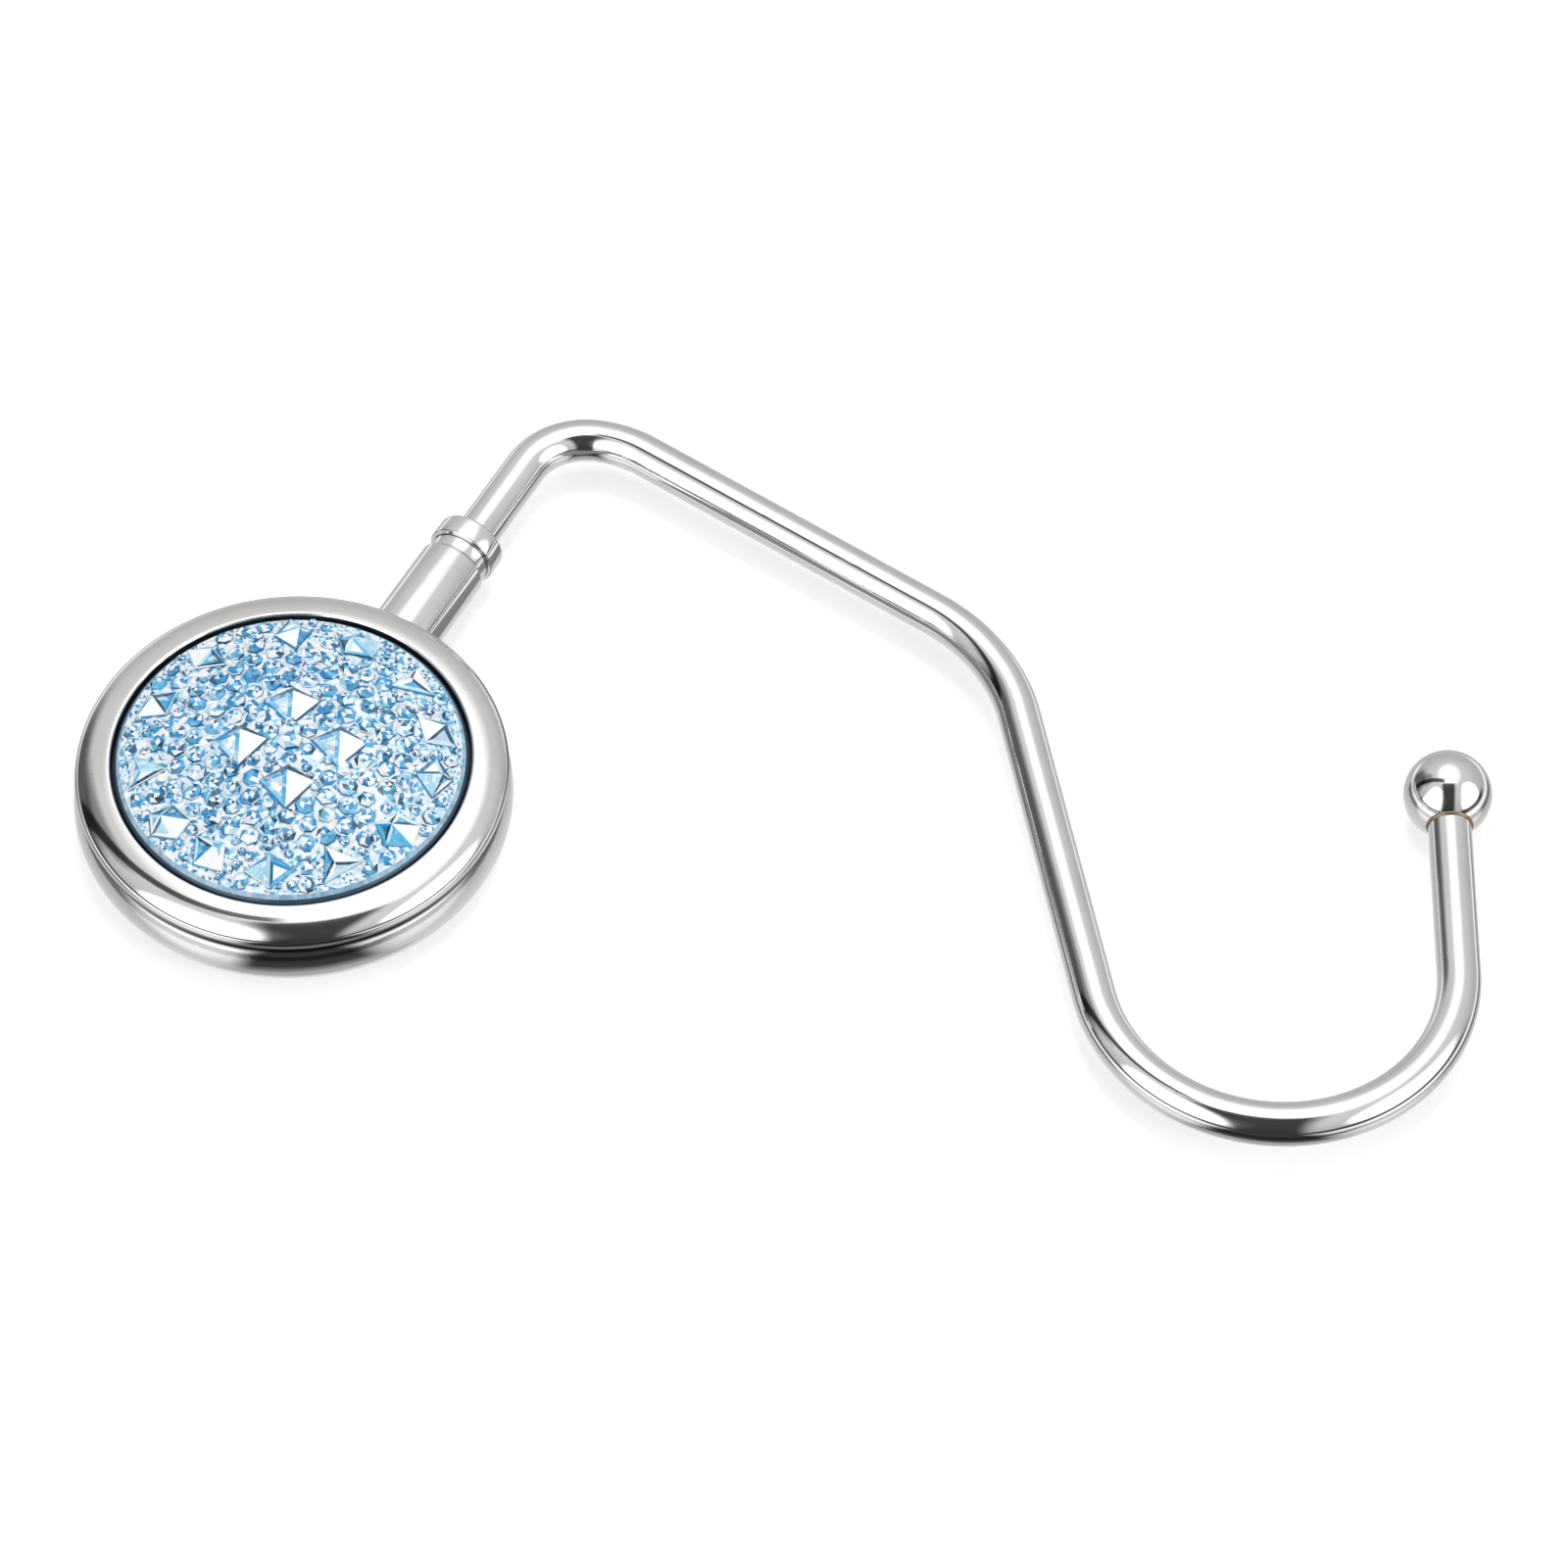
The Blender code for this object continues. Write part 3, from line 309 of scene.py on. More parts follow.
line = strip(rise, LINE_RISE, LINE_HALF, LINE_SOFT, LINE_STRENGTH)
shade = plus(shade, times(line, fade(off(right, GAP_MIDDLE), *LINE_FADE)))
band = strip(rise, BAND_RISE, BAND_HALF, BAND_SOFT, BAND_DEPTH)
shade = dimmed(shade, times(band, fade(ahead, *BAND_FADE)))
for panel in MIRRORED:
    shade = plus(shade, times(spot(panel), dimmed(1.0, above)))
gap_width = spread(tree, rise, 0.0, GAP_SPREAD_RISE, 0.0, GAP_SPREAD, soft=True)
off_gap = maths(tree, "SUBTRACT", off(right, GAP_MIDDLE), gap_width)
gap = spread(tree, off_gap, GAP_HALF, GAP_HALF + GAP_SOFT, 1.0, 0.0, soft=True)
gap = times(gap, fade(ahead, -GAP_TOP, -GAP_TOP - GAP_TOP_SOFT))
gap = times(gap, spread(tree, rise, *GAP_FOOT, GAP_FOOT_SHARE, 1.0, soft=True))
slit = times(strip(rise, SLIT_RISE, SLIT_HALF, SLIT_SOFT, SLIT_DEPTH), fade(ahead, *SLIT_FADE))
only_glows(tree, shader, dimmed(shade, maths(tree, "MAXIMUM", times(gap, GAP_DEPTH), slit)))
tent.data.materials.append(material)
only_reflected(tent)
# The metal doesn't see the floor: the tent's lower half glows in its place, standing in for the lit table,
# with a painted bright line and a painted dark band across it.
floor.visible_glossy = False

# A dark card lies beside the stem, out of the camera's sight, and gives the wire's near side its dark
# edge. It is no plain card but a faint grey glow standing in for a lit card, and only the metal's
# reflections see it.
CARD_MIDDLE = (0.026, 0.0292, 0.0003)
CARD_SIZE = (0.038, 0.0255)
CARD_TURN = 6.0
CARD_GLOW_LEVELS = (0.24, 0.36)
CARD_GLOW_GRAIN = 60.0


def noise(tree, vector, scale, detail=2.0, distortion=0.0):
    node = tree.nodes.new("ShaderNodeTexNoise")
    node.inputs["Scale"].default_value = scale
    node.inputs["Detail"].default_value = detail
    node.inputs["Distortion"].default_value = distortion
    tree.links.new(vector, node.inputs["Vector"])
    return node.outputs["Fac"]


deselect()
bpy.ops.mesh.primitive_plane_add(size=1.0, location=CARD_MIDDLE)
card = named("black_card")
edit_all()
bpy.ops.transform.resize(value=(*CARD_SIZE, 1.0), center_override=CARD_MIDDLE)
bpy.ops.transform.rotate(value=math.radians(CARD_TURN), orient_axis="Z", center_override=CARD_MIDDLE)
end_edit()
bpy.ops.object.transform_apply(location=True, rotation=True, scale=True)
material, tree, shader = new_material("black_card")
glow_grain = noise(tree, own_place(tree), CARD_GLOW_GRAIN)
only_glows(tree, shader, spread(tree, glow_grain, 0.3, 0.7, *CARD_GLOW_LEVELS))
card.data.materials.append(material)
only_reflected(card)

# Base shell: the lower half of the disc, pressed from brass sheet, polished and plated. Its side bulges
# a little past the rim above it and turns in with a round edge to the recess for the pad.
DISC_STEPS = 160
RIM_WIDTH = 3.6 * MM
BULGE_PROUD = 0.3 * MM
PARTING_DROP = 2.6 * MM
PARTING_INSET = 0.5 * MM
PARTING_GAP = 0.1 * MM
PARTING_DEPTH = 1.5 * MM
EDGE_ROUND = 0.12 * MM
BULGE_TOP_DEGREES = 50.0
BULGE_LEAD = 2.5
BULGE_FILLET = 3.0 * MM
RECESS_MARGIN = 2.4 * MM
RECESS_DEPTH = 1.05 * MM
SHELL_STEP = 0.5 * MM
PLATING_COLOUR = (0.74, 0.73, 0.715)
SMEAR_SHARES = (0.94, 1.03)
PLATING_ROUGHNESS = (0.045, 0.10)
SCRATCH_STRETCH = (60.0, 2600.0, 900.0)
SCRATCH_SHARE = 0.25
# Painted shade along the parting crease between the two shells: a near-black band round the seam.
PAINTED_SEAM_SHADE = (0.03, 0.03, 0.03)
PAINTED_SEAM_SHADE_SHARE = 0.92
PAINTED_SEAM_SHADE_RISE = -0.08 * MM
PAINTED_SEAM_SHADE_REACH = (0.42 * MM, 0.66 * MM)

disc_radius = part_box("base_shell")[1].x
base_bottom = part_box("base_shell")[0].z
lip_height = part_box("bezel_cup")[1].z
rim_radius = disc_radius - BULGE_PROUD
lip_radius = rim_radius - RIM_WIDTH
parting_radius = rim_radius - PARTING_INSET
parting_height = lip_height - PARTING_DROP
recess_radius = disc_radius - BULGE_FILLET - RECESS_MARGIN
recess_ceiling = base_bottom + RECESS_DEPTH


def arc(centre_r, centre_z, radius_r, radius_z, start, end, count):
    """Points of an elliptical arc in a turned section, angles in degrees from the outward side."""
    angles = np.radians(np.linspace(start, end, count))
    return [(centre_r + radius_r * math.cos(a), centre_z + radius_z * math.sin(a)) for a in angles]


def pull(step):
    """Extrudes what is selected by a step."""
    bpy.ops.mesh.extrude_region_move(TRANSFORM_OT_translate={"value": tuple(step)})


def face_outwards():
    """Turns all faces of the piece outwards, and ends its editing."""
    bpy.ops.mesh.select_all(action="SELECT")
    bpy.ops.mesh.normals_make_consistent(inside=False)
    end_edit()


def smooth(degrees):
    """Smooths the piece but for its edges that are sharper than an angle."""
    bpy.ops.object.shade_smooth_by_angle(angle=math.radians(degrees))


def turned(name, profile, steps, smooth_degrees=40.0):
    """A section drawn by pulling one vertex from point to point, then spun about the upright axis."""
    deselect()
    bpy.ops.mesh.primitive_plane_add(size=MM, location=(profile[0][0], 0.0, profile[0][1]))
    obj = named(name)
    edit_all()
    bpy.ops.mesh.merge(type="CENTER")
    for (r0, z0), (r1, z1) in zip(profile, profile[1:]):
        pull((r1 - r0, 0.0, z1 - z0))
    bpy.ops.mesh.select_all(action="SELECT")
    bpy.ops.mesh.spin(steps=steps, angle=math.tau, center=(0.0, 0.0, 0.0), axis=(0.0, 0.0, 1.0))
    bpy.ops.mesh.select_all(action="SELECT")
    bpy.ops.mesh.remove_doubles(threshold=0.002 * MM)
    face_outwards()
    bpy.ops.object.transform_apply(location=True, rotation=True, scale=True)
    smooth(smooth_degrees)
    return obj


def cells(tree, vector, scale, feature="F1"):
    node = tree.nodes.new("ShaderNodeTexVoronoi")
    node.feature = feature
    node.inputs["Scale"].default_value = scale
    tree.links.new(vector, node.inputs["Vector"])
    return node


def shades(tree, value, stops, interpolation="LINEAR"):
    """Colour ramp through the stops, each a position and a colour."""
    node = tree.nodes.new("ShaderNodeValToRGB")
    band = node.color_ramp
    band.interpolation = interpolation
    band.elements[0].position = stops[0][0]
    band.elements[1].position = stops[-1][0]
    for position, colour in stops[1:-1]:
        band.elements.new(position)
    for element, (position, colour) in zip(band.elements, stops):
        element.color = (*colour, 1.0)
    tree.links.new(value, node.inputs["Fac"])
    return node.outputs["Color"]


def relief(tree, shader, height, depth, strength=0.5):
    """Bump of a height field on the shader."""
    bump = tree.nodes.new("ShaderNodeBump")
    bump.inputs["Strength"].default_value = strength
    bump.inputs["Distance"].default_value = depth
    tree.links.new(height, bump.inputs["Height"])
    tree.links.new(bump.outputs["Normal"], shader.inputs["Normal"])


def stretched(tree, vector, turn, scale):
    """Coordinates turned about the upright axis and stretched, for scratches and streaks."""
    node = tree.nodes.new("ShaderNodeMapping")
    node.inputs["Rotation"].default_value = (0.0, 0.0, turn)
    node.inputs["Scale"].default_value = scale
    tree.links.new(vector, node.inputs["Vector"])
    return node.outputs["Vector"]


def mixed(tree, share, first, second):
    """Blends a colour socket by a share into a second one, or into a plain colour."""
    node = tree.nodes.new("ShaderNodeMix")
    node.data_type = "RGBA"
    tree.links.new(share, node.inputs["Factor"])
    tree.links.new(first, node.inputs["A"])
    if isinstance(second, bpy.types.NodeSocket):
        tree.links.new(second, node.inputs["B"])
    else:
        node.inputs["B"].default_value = (*second, 1.0)
    return node.outputs["Result"]


def plating(name, smear_scale, scratch_turn, seam=None):
    """Polished plating: soft smears in the polish, hair scratches, and a few tiny pits and specks.
    A seam can be darkened by painted shade, the seam given as its direction, its place along that and its
    reach."""
    material, tree, shader = new_material(name)
    shader.inputs["Metallic"].default_value = 1.0
    place = own_place(tree)
    smear = noise(tree, place, smear_scale, 5.0, 0.6)
    duller, brighter = ([c * share for c in PLATING_COLOUR] for share in SMEAR_SHARES)
    colour = shades(tree, smear, ((0.3, duller), (0.7, brighter)))
    if seam is not None:
        seam_way, seam_place, seam_reach = seam
        off_seam = maths(tree, "SUBTRACT", along(tree, place, seam_way), seam_place)
        painted_shade = spread(tree, maths(tree, "ABSOLUTE", off_seam), *seam_reach, PAINTED_SEAM_SHADE_SHARE, 0.0)
        colour = mixed(tree, painted_shade, colour, PAINTED_SEAM_SHADE)
    tree.links.new(colour, shader.inputs["Base Color"])
    tree.links.new(spread(tree, smear, 0.3, 0.75, *PLATING_ROUGHNESS), shader.inputs["Roughness"])
    hair = spread(tree, noise(tree, stretched(tree, place, scratch_turn, SCRATCH_STRETCH), 1.0), 0.68, 0.78)
    pits = spread(tree, cells(tree, place, 900.0).outputs["Distance"], 0.05, 0.16, 1.0, 0.0)
    pits = maths(tree, "MULTIPLY", pits, spread(tree, noise(tree, place, 170.0), 0.60, 0.68))
    relief(tree, shader, maths(tree, "MULTIPLY_ADD", hair, SCRATCH_SHARE, pits), 0.02 * MM)
    return material


# The parting crease of both shells gets the painted shade.
shell_seam_shade = ((0.0, 0.0, 1.0), parting_height + PAINTED_SEAM_SHADE_RISE, PAINTED_SEAM_SHADE_REACH)
bulge_height = base_bottom + BULGE_FILLET
base_parting = parting_height - PARTING_GAP / 2
top_turn = math.radians(BULGE_TOP_DEGREES)
bulge_width = (disc_radius - parting_radius) / (1.0 - math.cos(top_turn))
bulge_rise = (base_parting - bulge_height) / math.sin(top_turn)
fillet_centre = disc_radius - BULGE_FILLET
profile = [(0.0, base_parting - SHELL_STEP), (parting_radius - PARTING_DEPTH, base_parting - SHELL_STEP)]
profile += [(parting_radius - PARTING_DEPTH, base_parting), (parting_radius - EDGE_ROUND, base_parting)]
bulge_centre = disc_radius - bulge_width
profile += arc(bulge_centre, bulge_height, bulge_width, bulge_rise, BULGE_TOP_DEGREES - BULGE_LEAD, 0, 20)
profile += arc(fillet_centre, bulge_height, BULGE_FILLET, BULGE_FILLET, -5, -90, 18)
profile += [(recess_radius, base_bottom), (recess_radius, recess_ceiling), (0.0, recess_ceiling)]
base_shell = turned("base_shell_skin", profile, DISC_STEPS)
base_shell.data.materials.append(plating("base_plating_polish", 90.0, 0.4, shell_seam_shade))
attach(base_shell, "disc")
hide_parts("base_shell")

# Stem socket: a plated tube with a threaded stud, screwed into the side of the disc, with a rounded
# mouth that takes the ferrule.
STEM_RADIUS = 3.45 * MM
STEM_SINK = 1.4 * MM
STEM_ROUND = 0.4 * MM
BORE_RADIUS = 2.7 * MM
BORE_DEPTH = 4.0 * MM
MOUTH_BREAK = 0.12 * MM
STEM_STEPS = 72
stem_low, stem_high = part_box("stem_socket")
axis_height = (stem_low.z + stem_high.z) / 2
stem_seat = disc_radius - STEM_SINK
stem_end = stem_high.y
bore_end = stem_end - BORE_DEPTH


def laid_along_stem(obj):
    """Lays a piece that was turned about the upright axis along the stem's axis."""
    obj.data.transform(Matrix.Translation((0.0, 0.0, axis_height)) @ Matrix.Rotation(-math.pi / 2, 4, "X"))
    return obj


profile = [(BORE_RADIUS, bore_end), (BORE_RADIUS, stem_end - MOUTH_BREAK)]
profile += [(BORE_RADIUS + MOUTH_BREAK, stem_end)]
profile += arc(STEM_RADIUS - STEM_ROUND, stem_end - STEM_ROUND, STEM_ROUND, STEM_ROUND, 90, 0, 8)
profile += [(STEM_RADIUS, stem_seat), (0.0, stem_seat), (0.0, bore_end), (BORE_RADIUS, bore_end)]
stem = laid_along_stem(turned("stem_socket_skin", profile, STEM_STEPS))
stem.data.materials.append(plating("stem_plating_polish", 160.0, 0.2))
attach(stem, "disc")
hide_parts("stem_socket")

# Bezel cup: the upper half of the disc, with the broad rounded rim and the tray that the cabochon is
# glued into. It is plated like the base, and its tray is painted near black: painted shade in the thin
# gap round the cabochon.
TRAY_DEPTH = 1.6 * MM
TRAY_FLOOR = 1.0 * MM
LIP_ROUND = 0.25 * MM
RIM_EDGE_RISE = 0.5 * MM
RIM_FOOT_DEGREES = 8.9
RIM_TOP_DEGREES = 84.0
TRAY_SHADE_COLOURS = ((0.2, (0.006, 0.007, 0.009)), (0.8, (0.035, 0.036, 0.04)))
TRAY_SHADE_ROUGHNESS = (0.2, 0.8, 0.35, 0.6)
tray_height = lip_height - TRAY_DEPTH
cup_parting = parting_height + PARTING_GAP / 2
rim_centre = parting_height + RIM_EDGE_RISE


def toned(tree, shader, value, stops, roughness):
    """Colour and roughness of a finish from one texture: colours at stops of its values, and a range of
    its values with the roughness at either end."""
    tree.links.new(shades(tree, value, stops), shader.inputs["Base Color"])
    tree.links.new(spread(tree, value, *roughness), shader.inputs["Roughness"])


def off_axis(point):
    """Distance of a point from the disc's axis."""
    return math.hypot(point.x, point.y)


profile = [(0.0, tray_height), (lip_radius, tray_height)]
profile += arc(lip_radius + LIP_ROUND, lip_height - LIP_ROUND, LIP_ROUND, LIP_ROUND, 180, 100, 5)
rim_rise = lip_height - rim_centre
profile += arc(lip_radius, rim_centre, RIM_WIDTH, rim_rise, RIM_TOP_DEGREES, -RIM_FOOT_DEGREES, 34)
foot_r, foot_z = profile[-1]
foot_drop = foot_z - cup_parting
profile += arc(foot_r - foot_drop, foot_z, foot_drop, foot_drop, -20, -90, 4)
profile += [(parting_radius - PARTING_DEPTH, cup_parting)]
profile += [(parting_radius - PARTING_DEPTH, tray_height - TRAY_FLOOR), (0.0, tray_height - TRAY_FLOOR)]
bezel_cup = turned("bezel_cup_skin", profile, DISC_STEPS)
bezel_cup.data.materials.append(plating("bezel_plating_polish", 80.0, 1.3, shell_seam_shade))
material, tree, shader = new_material("tray_painted_shadow")
toned(tree, shader, noise(tree, own_place(tree), 700.0), TRAY_SHADE_COLOURS, TRAY_SHADE_ROUGHNESS)
bezel_cup.data.materials.append(material)
# The tray's floor and wall take the painted shade.
for face in bezel_cup.data.polygons:
    in_tray = off_axis(face.center) < lip_radius + LIP_ROUND / 10
    if in_tray and tray_height - LIP_ROUND / 2 < face.center.z < lip_height - LIP_ROUND / 2:
        face.material_index = 1
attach(bezel_cup, "disc")
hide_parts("bezel_cup")

# Shell screw: a countersunk steel screw with a slotted head, which draws the two shells together from
# below. Its head shows the fine rings of the lathe, and the pad covers it.
LATHE_RINGS = 1500.0
STEEL_SHADES = ((0.3, (0.34, 0.34, 0.35)), (0.7, (0.56, 0.56, 0.57)))
STEEL_ROUGHNESS = (0.3, 0.7, 0.22, 0.42)


def redress(node, material):
    """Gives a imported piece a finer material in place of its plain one."""
    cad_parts[node].material_slots[0].material = material


material, tree, shader = new_material("turned_steel")
place = own_place(tree)
rings = tree.nodes.new("ShaderNodeTexWave")
rings.wave_type = "RINGS"
rings.rings_direction = "Z"
rings.inputs["Scale"].default_value = LATHE_RINGS
rings.inputs["Distortion"].default_value = 0.4
tree.links.new(place, rings.inputs["Vector"])
toned(tree, shader, noise(tree, place, 500.0, 4.0), STEEL_SHADES, STEEL_ROUGHNESS)
shader.inputs["Metallic"].default_value = 1.0
relief(tree, shader, rings.outputs["Fac"], 0.01 * MM)
redress("shell_screw", material)

# Pad and its adhesive film: a moulded disc of soft black rubber with one round groove and a fine grain,
# stuck into the base's recess with a film of clear acrylic adhesive.
PAD_EDGE_ROUND = 0.4 * MM
PAD_GROOVE_INSET = 2.8 * MM
PAD_GROOVE_WIDTH = 1.0 * MM
PAD_GROOVE_DEPTH = 0.3 * MM
FILM_SHADES = ((0.1, (0.80, 0.77, 0.66)), (0.6, (0.66, 0.61, 0.47)))
FILM_ROUGHNESS = (0.1, 0.6, 0.2, 0.45)
RUBBER_SHADES = (
    (0.35, (0.014, 0.014, 0.015)), (0.62, (0.030, 0.030, 0.031)), (0.8, (0.075, 0.074, 0.072))
)
RUBBER_ROUGHNESS = (0.3, 0.75, 0.55, 0.82)
material, tree, shader = new_material("clear_adhesive")
bubbles = cells(tree, own_place(tree), 1400.0).outputs["Distance"]
toned(tree, shader, bubbles, FILM_SHADES, FILM_ROUGHNESS)
relief(tree, shader, bubbles, 0.02 * MM)
redress("pad_adhesive", material)

pad_low, pad_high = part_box("grip_pad")
pad_radius = pad_high.x
groove_outer = pad_radius - PAD_GROOVE_INSET
groove_inner = groove_outer - PAD_GROOVE_WIDTH
groove_top = pad_low.z + PAD_GROOVE_DEPTH
pad_edge = pad_radius - PAD_EDGE_ROUND
profile = [(0.0, pad_high.z), (pad_radius - PAD_EDGE_ROUND / 2, pad_high.z)]
profile += [(pad_radius, pad_high.z - PAD_EDGE_ROUND / 2)]
profile += arc(pad_edge, pad_low.z + PAD_EDGE_ROUND, PAD_EDGE_ROUND, PAD_EDGE_ROUND, 0, -90, 8)
for corner, direction in ((groove_outer, 1.0), (groove_inner, -1.0)):
    mouth = PAD_GROOVE_DEPTH / 3
    wall = [(corner + direction * mouth, pad_low.z), (corner, pad_low.z + mouth), (corner, groove_top)]
    profile += wall if direction > 0 else wall[::-1]
profile += [(0.0, pad_low.z)]
grip_pad = turned("grip_pad_rubber", profile, DISC_STEPS, 25.0)
material, tree, shader = new_material("soft_rubber")
place = own_place(tree)
toned(tree, shader, noise(tree, place, 320.0, 5.0, 0.4), RUBBER_SHADES, RUBBER_ROUGHNESS)
shader.inputs["Sheen Weight"].default_value = 0.15
relief(tree, shader, cells(tree, place, 2600.0).outputs["Distance"], 0.05 * MM, 0.6)
grip_pad.data.materials.append(material)
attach(grip_pad, "disc")
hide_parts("grip_pad")

# Glue and foil: a thin layer of clear resin glue holds the cabochon in its tray, and a crinkled mirror
# foil lies on the cabochon's back; the light that such foil throws up through the stones is painted on
# their facets instead.
GLUE_SHADES = ((0.3, (0.62, 0.60, 0.52)), (0.7, (0.78, 0.76, 0.68)))
GLUE_ROUGHNESS = (0.1, 0.5, 0.12, 0.35)
FOIL_SHADES = ((0.35, (0.72, 0.75, 0.78)), (0.65, (0.88, 0.90, 0.92)))
FOIL_ROUGHNESS = (0.3, 0.7, 0.05, 0.2)


def clouded(name, cloud, stops, roughness, depth, metallic=0.0):
    """A finish whose colour, roughness and fine relief all follow one noise, its scale first."""
    material, tree, shader = new_material(name)
    value = noise(tree, own_place(tree), *cloud)
    toned(tree, shader, value, stops, roughness)
    shader.inputs["Metallic"].default_value = metallic
    relief(tree, shader, value, depth)
    return material


material, tree, shader = new_material("cured_glue")
place = own_place(tree)
bubbles = cells(tree, place, 1100.0).outputs["Distance"]
glue = shades(tree, noise(tree, place, 240.0), GLUE_SHADES)
tree.links.new(glue, shader.inputs["Base Color"])
tree.links.new(spread(tree, bubbles, *GLUE_ROUGHNESS), shader.inputs["Roughness"])
relief(tree, shader, bubbles, 0.03 * MM)
redress("cabochon_glue", material)
foil = clouded("mirror_foil", (420.0, 6.0, 1.2), FOIL_SHADES, FOIL_ROUGHNESS, 0.1 * MM, 1.0)
redress("foil_backing", foil)

# Cabochon: one dome of clear resin moulded full of stones over the mirror foil. Every facet is painted
# with a shade drawn at random: the blues are the stones' own tint, while the white flashes, how light or
# dark each facet is and its dark slivers are painted light and shade. Small round stones crowd between
# eighteen large ones: a round one at the centre, four square ones round it and thirteen cut ones in a
# ring near the edge.
CABOCHON_RADIUS = 17.2 * MM
BORDER_WIDTH = 0.6 * MM
CLEAR_SHARE = 0.55
BORDER_DROP = 0.7 * MM
EDGE_RISE = 0.1 * MM
DOME_RISE = 2.6 * MM
NEARLY = 0.01 * MM
cabochon_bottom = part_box("cabochon")[0].z
dome_edge = lip_height + EDGE_RISE
cap_radius = (CABOCHON_RADIUS ** 2 + DOME_RISE ** 2) / (2 * DOME_RISE)
bed_radius = CABOCHON_RADIUS - BORDER_WIDTH


def dome_height(x, y):
    """Height of the dome, a shallow spherical cap."""
    return dome_edge + DOME_RISE - cap_radius + math.sqrt(cap_radius ** 2 - x * x - y * y)


def standing(x, y, turn):
    """Matrix that stands a stone on the dome, square to its slope."""
    direction = math.atan2(y, x)
    sideways = Vector((-math.sin(direction), math.cos(direction), 0.0))
    tilt = Matrix.Rotation(math.asin(math.hypot(x, y) / cap_radius), 4, sideways)
    return Matrix.Translation((x, y, dome_height(x, y))) @ tilt @ Matrix.Rotation(turn, 4, "Z")


def linear(red, green, blue):
    """A colour written as it looks on a screen, 0 to 255, in the renderer's linear values."""
    return tuple(((c / 255 + 0.055) / 1.055) ** 2.4 for c in (red, green, blue))


# Shades painted on the facets: the white and lilac ones are painted flashes and glints, the steel and ink
# ones painted shade, standing in for facets that catch no light.
WHITE_FLASH = linear(252, 255, 255)
PALE_ICE = linear(200, 236, 250)
ICE = linear(150, 212, 240)
SKY = linear(98, 186, 230)
DEEP_SKY = linear(52, 146, 203)
STEEL_BLUE = linear(48, 104, 140)
INK_BLUE = linear(18, 56, 84)
LILAC_GLINT = linear(232, 226, 246)
STONE_SHADES = (WHITE_FLASH, PALE_ICE, ICE, SKY, DEEP_SKY, STEEL_BLUE, INK_BLUE, LILAC_GLINT)
FACET_SHARES = {
    "root": (0.0, 0.0, 0.0, 0.0, 1.0, 0.0, 0.0, 0.0),
    "wall": (0.0, 0.0, 0.0, 0.10, 0.30, 0.35, 0.25, 0.0),
    "girdle": (0.20, 0.06, 0.04, 0.14, 0.22, 0.20, 0.14, 0.0),
    "main": (0.32, 0.02, 0.05, 0.23, 0.23, 0.09, 0.05, 0.01),
    "star": (0.42, 0.02, 0.04, 0.19, 0.20, 0.07, 0.05, 0.01),
    "bed": (0.64, 0.10, 0.03, 0.10, 0.08, 0.05, 0.0, 0.0),
}
PATTERN_SHARE = {"wall": 0.0, "girdle": 0.0, "main": 0.08, "star": 0.08, "bed": 0.10, "root": 0.0}
FACET_LIFT = (0.88, 1.06)


def paint(mesh, faces, shade, pattern):
    """Gives faces one shade on their corners, with the share of the inner pattern in its alpha."""
    layer = mesh.color_attributes.get("facet_shade")
    if layer is None:
        layer = mesh.color_attributes.new("facet_shade", "FLOAT_COLOR", "CORNER")
    for face in faces:
        for corner in face.loop_indices:
            layer.data[corner].color = (*shade, pattern)


def paint_by_kind(stone, kinds, draws):
    """Each facet draws a shade by its kind, so no two stones sparkle alike."""
    for face, kind in zip(stone.data.polygons, kinds):
        pick = draws.choice(len(STONE_SHADES), p=FACET_SHARES[kind])
        lift = draws.uniform(*FACET_LIFT)
        shade = [min(c * lift, 1.0) for c in STONE_SHADES[pick]]
        paint(stone.data, [face], shade, PATTERN_SHARE[kind])


ROUND_RINGS = (
    {"kind": "wall", "rise": 0.34, "narrow": 1.0, "turned": False},
    {"kind": "girdle", "rise": 0.12, "narrow": 0.92, "turned": False},
    {"kind": "main", "rise": 0.42, "narrow": 0.60, "turned": True},
)
TABLE_PEAK = 0.06
LEVEL_SLACK = 0.01


def around(orbit, angle):
    """Place on a circle round the disc's axis."""
    return orbit * math.cos(angle), orbit * math.sin(angle)


def widen(x, y):
    """Scales what is selected about the upright axis."""
    bpy.ops.transform.resize(value=(x, y, 1.0), center_override=(0.0, 0.0, 0.0))


def round_stone(name, sides):
    """A round stone of radius 1 and about height 1 with a row of facets round its low pointed top, pulled
    up ring by ring from its root."""
    deselect()
    bpy.ops.mesh.primitive_circle_add(vertices=sides, radius=1.0, fill_type="NGON")
    stone = named(name)
    edit_all()
    for ring in ROUND_RINGS:
        pull((0.0, 0.0, ring["rise"]))
        widen(ring["narrow"], ring["narrow"])
        if ring["turned"]:
            turn = math.pi / sides
            bpy.ops.transform.rotate(value=turn, orient_axis="Z", center_override=(0.0, 0.0, 0.0))
    bpy.ops.mesh.poke(offset=TABLE_PEAK)
    face_outwards()
    kinds = []
    for face in stone.data.polygons:
        height = face.center.z
        level = 0.0
        kind = "root" if height < LEVEL_SLACK else "star"
        for ring in ROUND_RINGS:
            if level + LEVEL_SLACK < height < level + ring["rise"] - LEVEL_SLACK:
                kind = ring["kind"]
            level += ring["rise"]
        kinds.append(kind)
    return stone, kinds


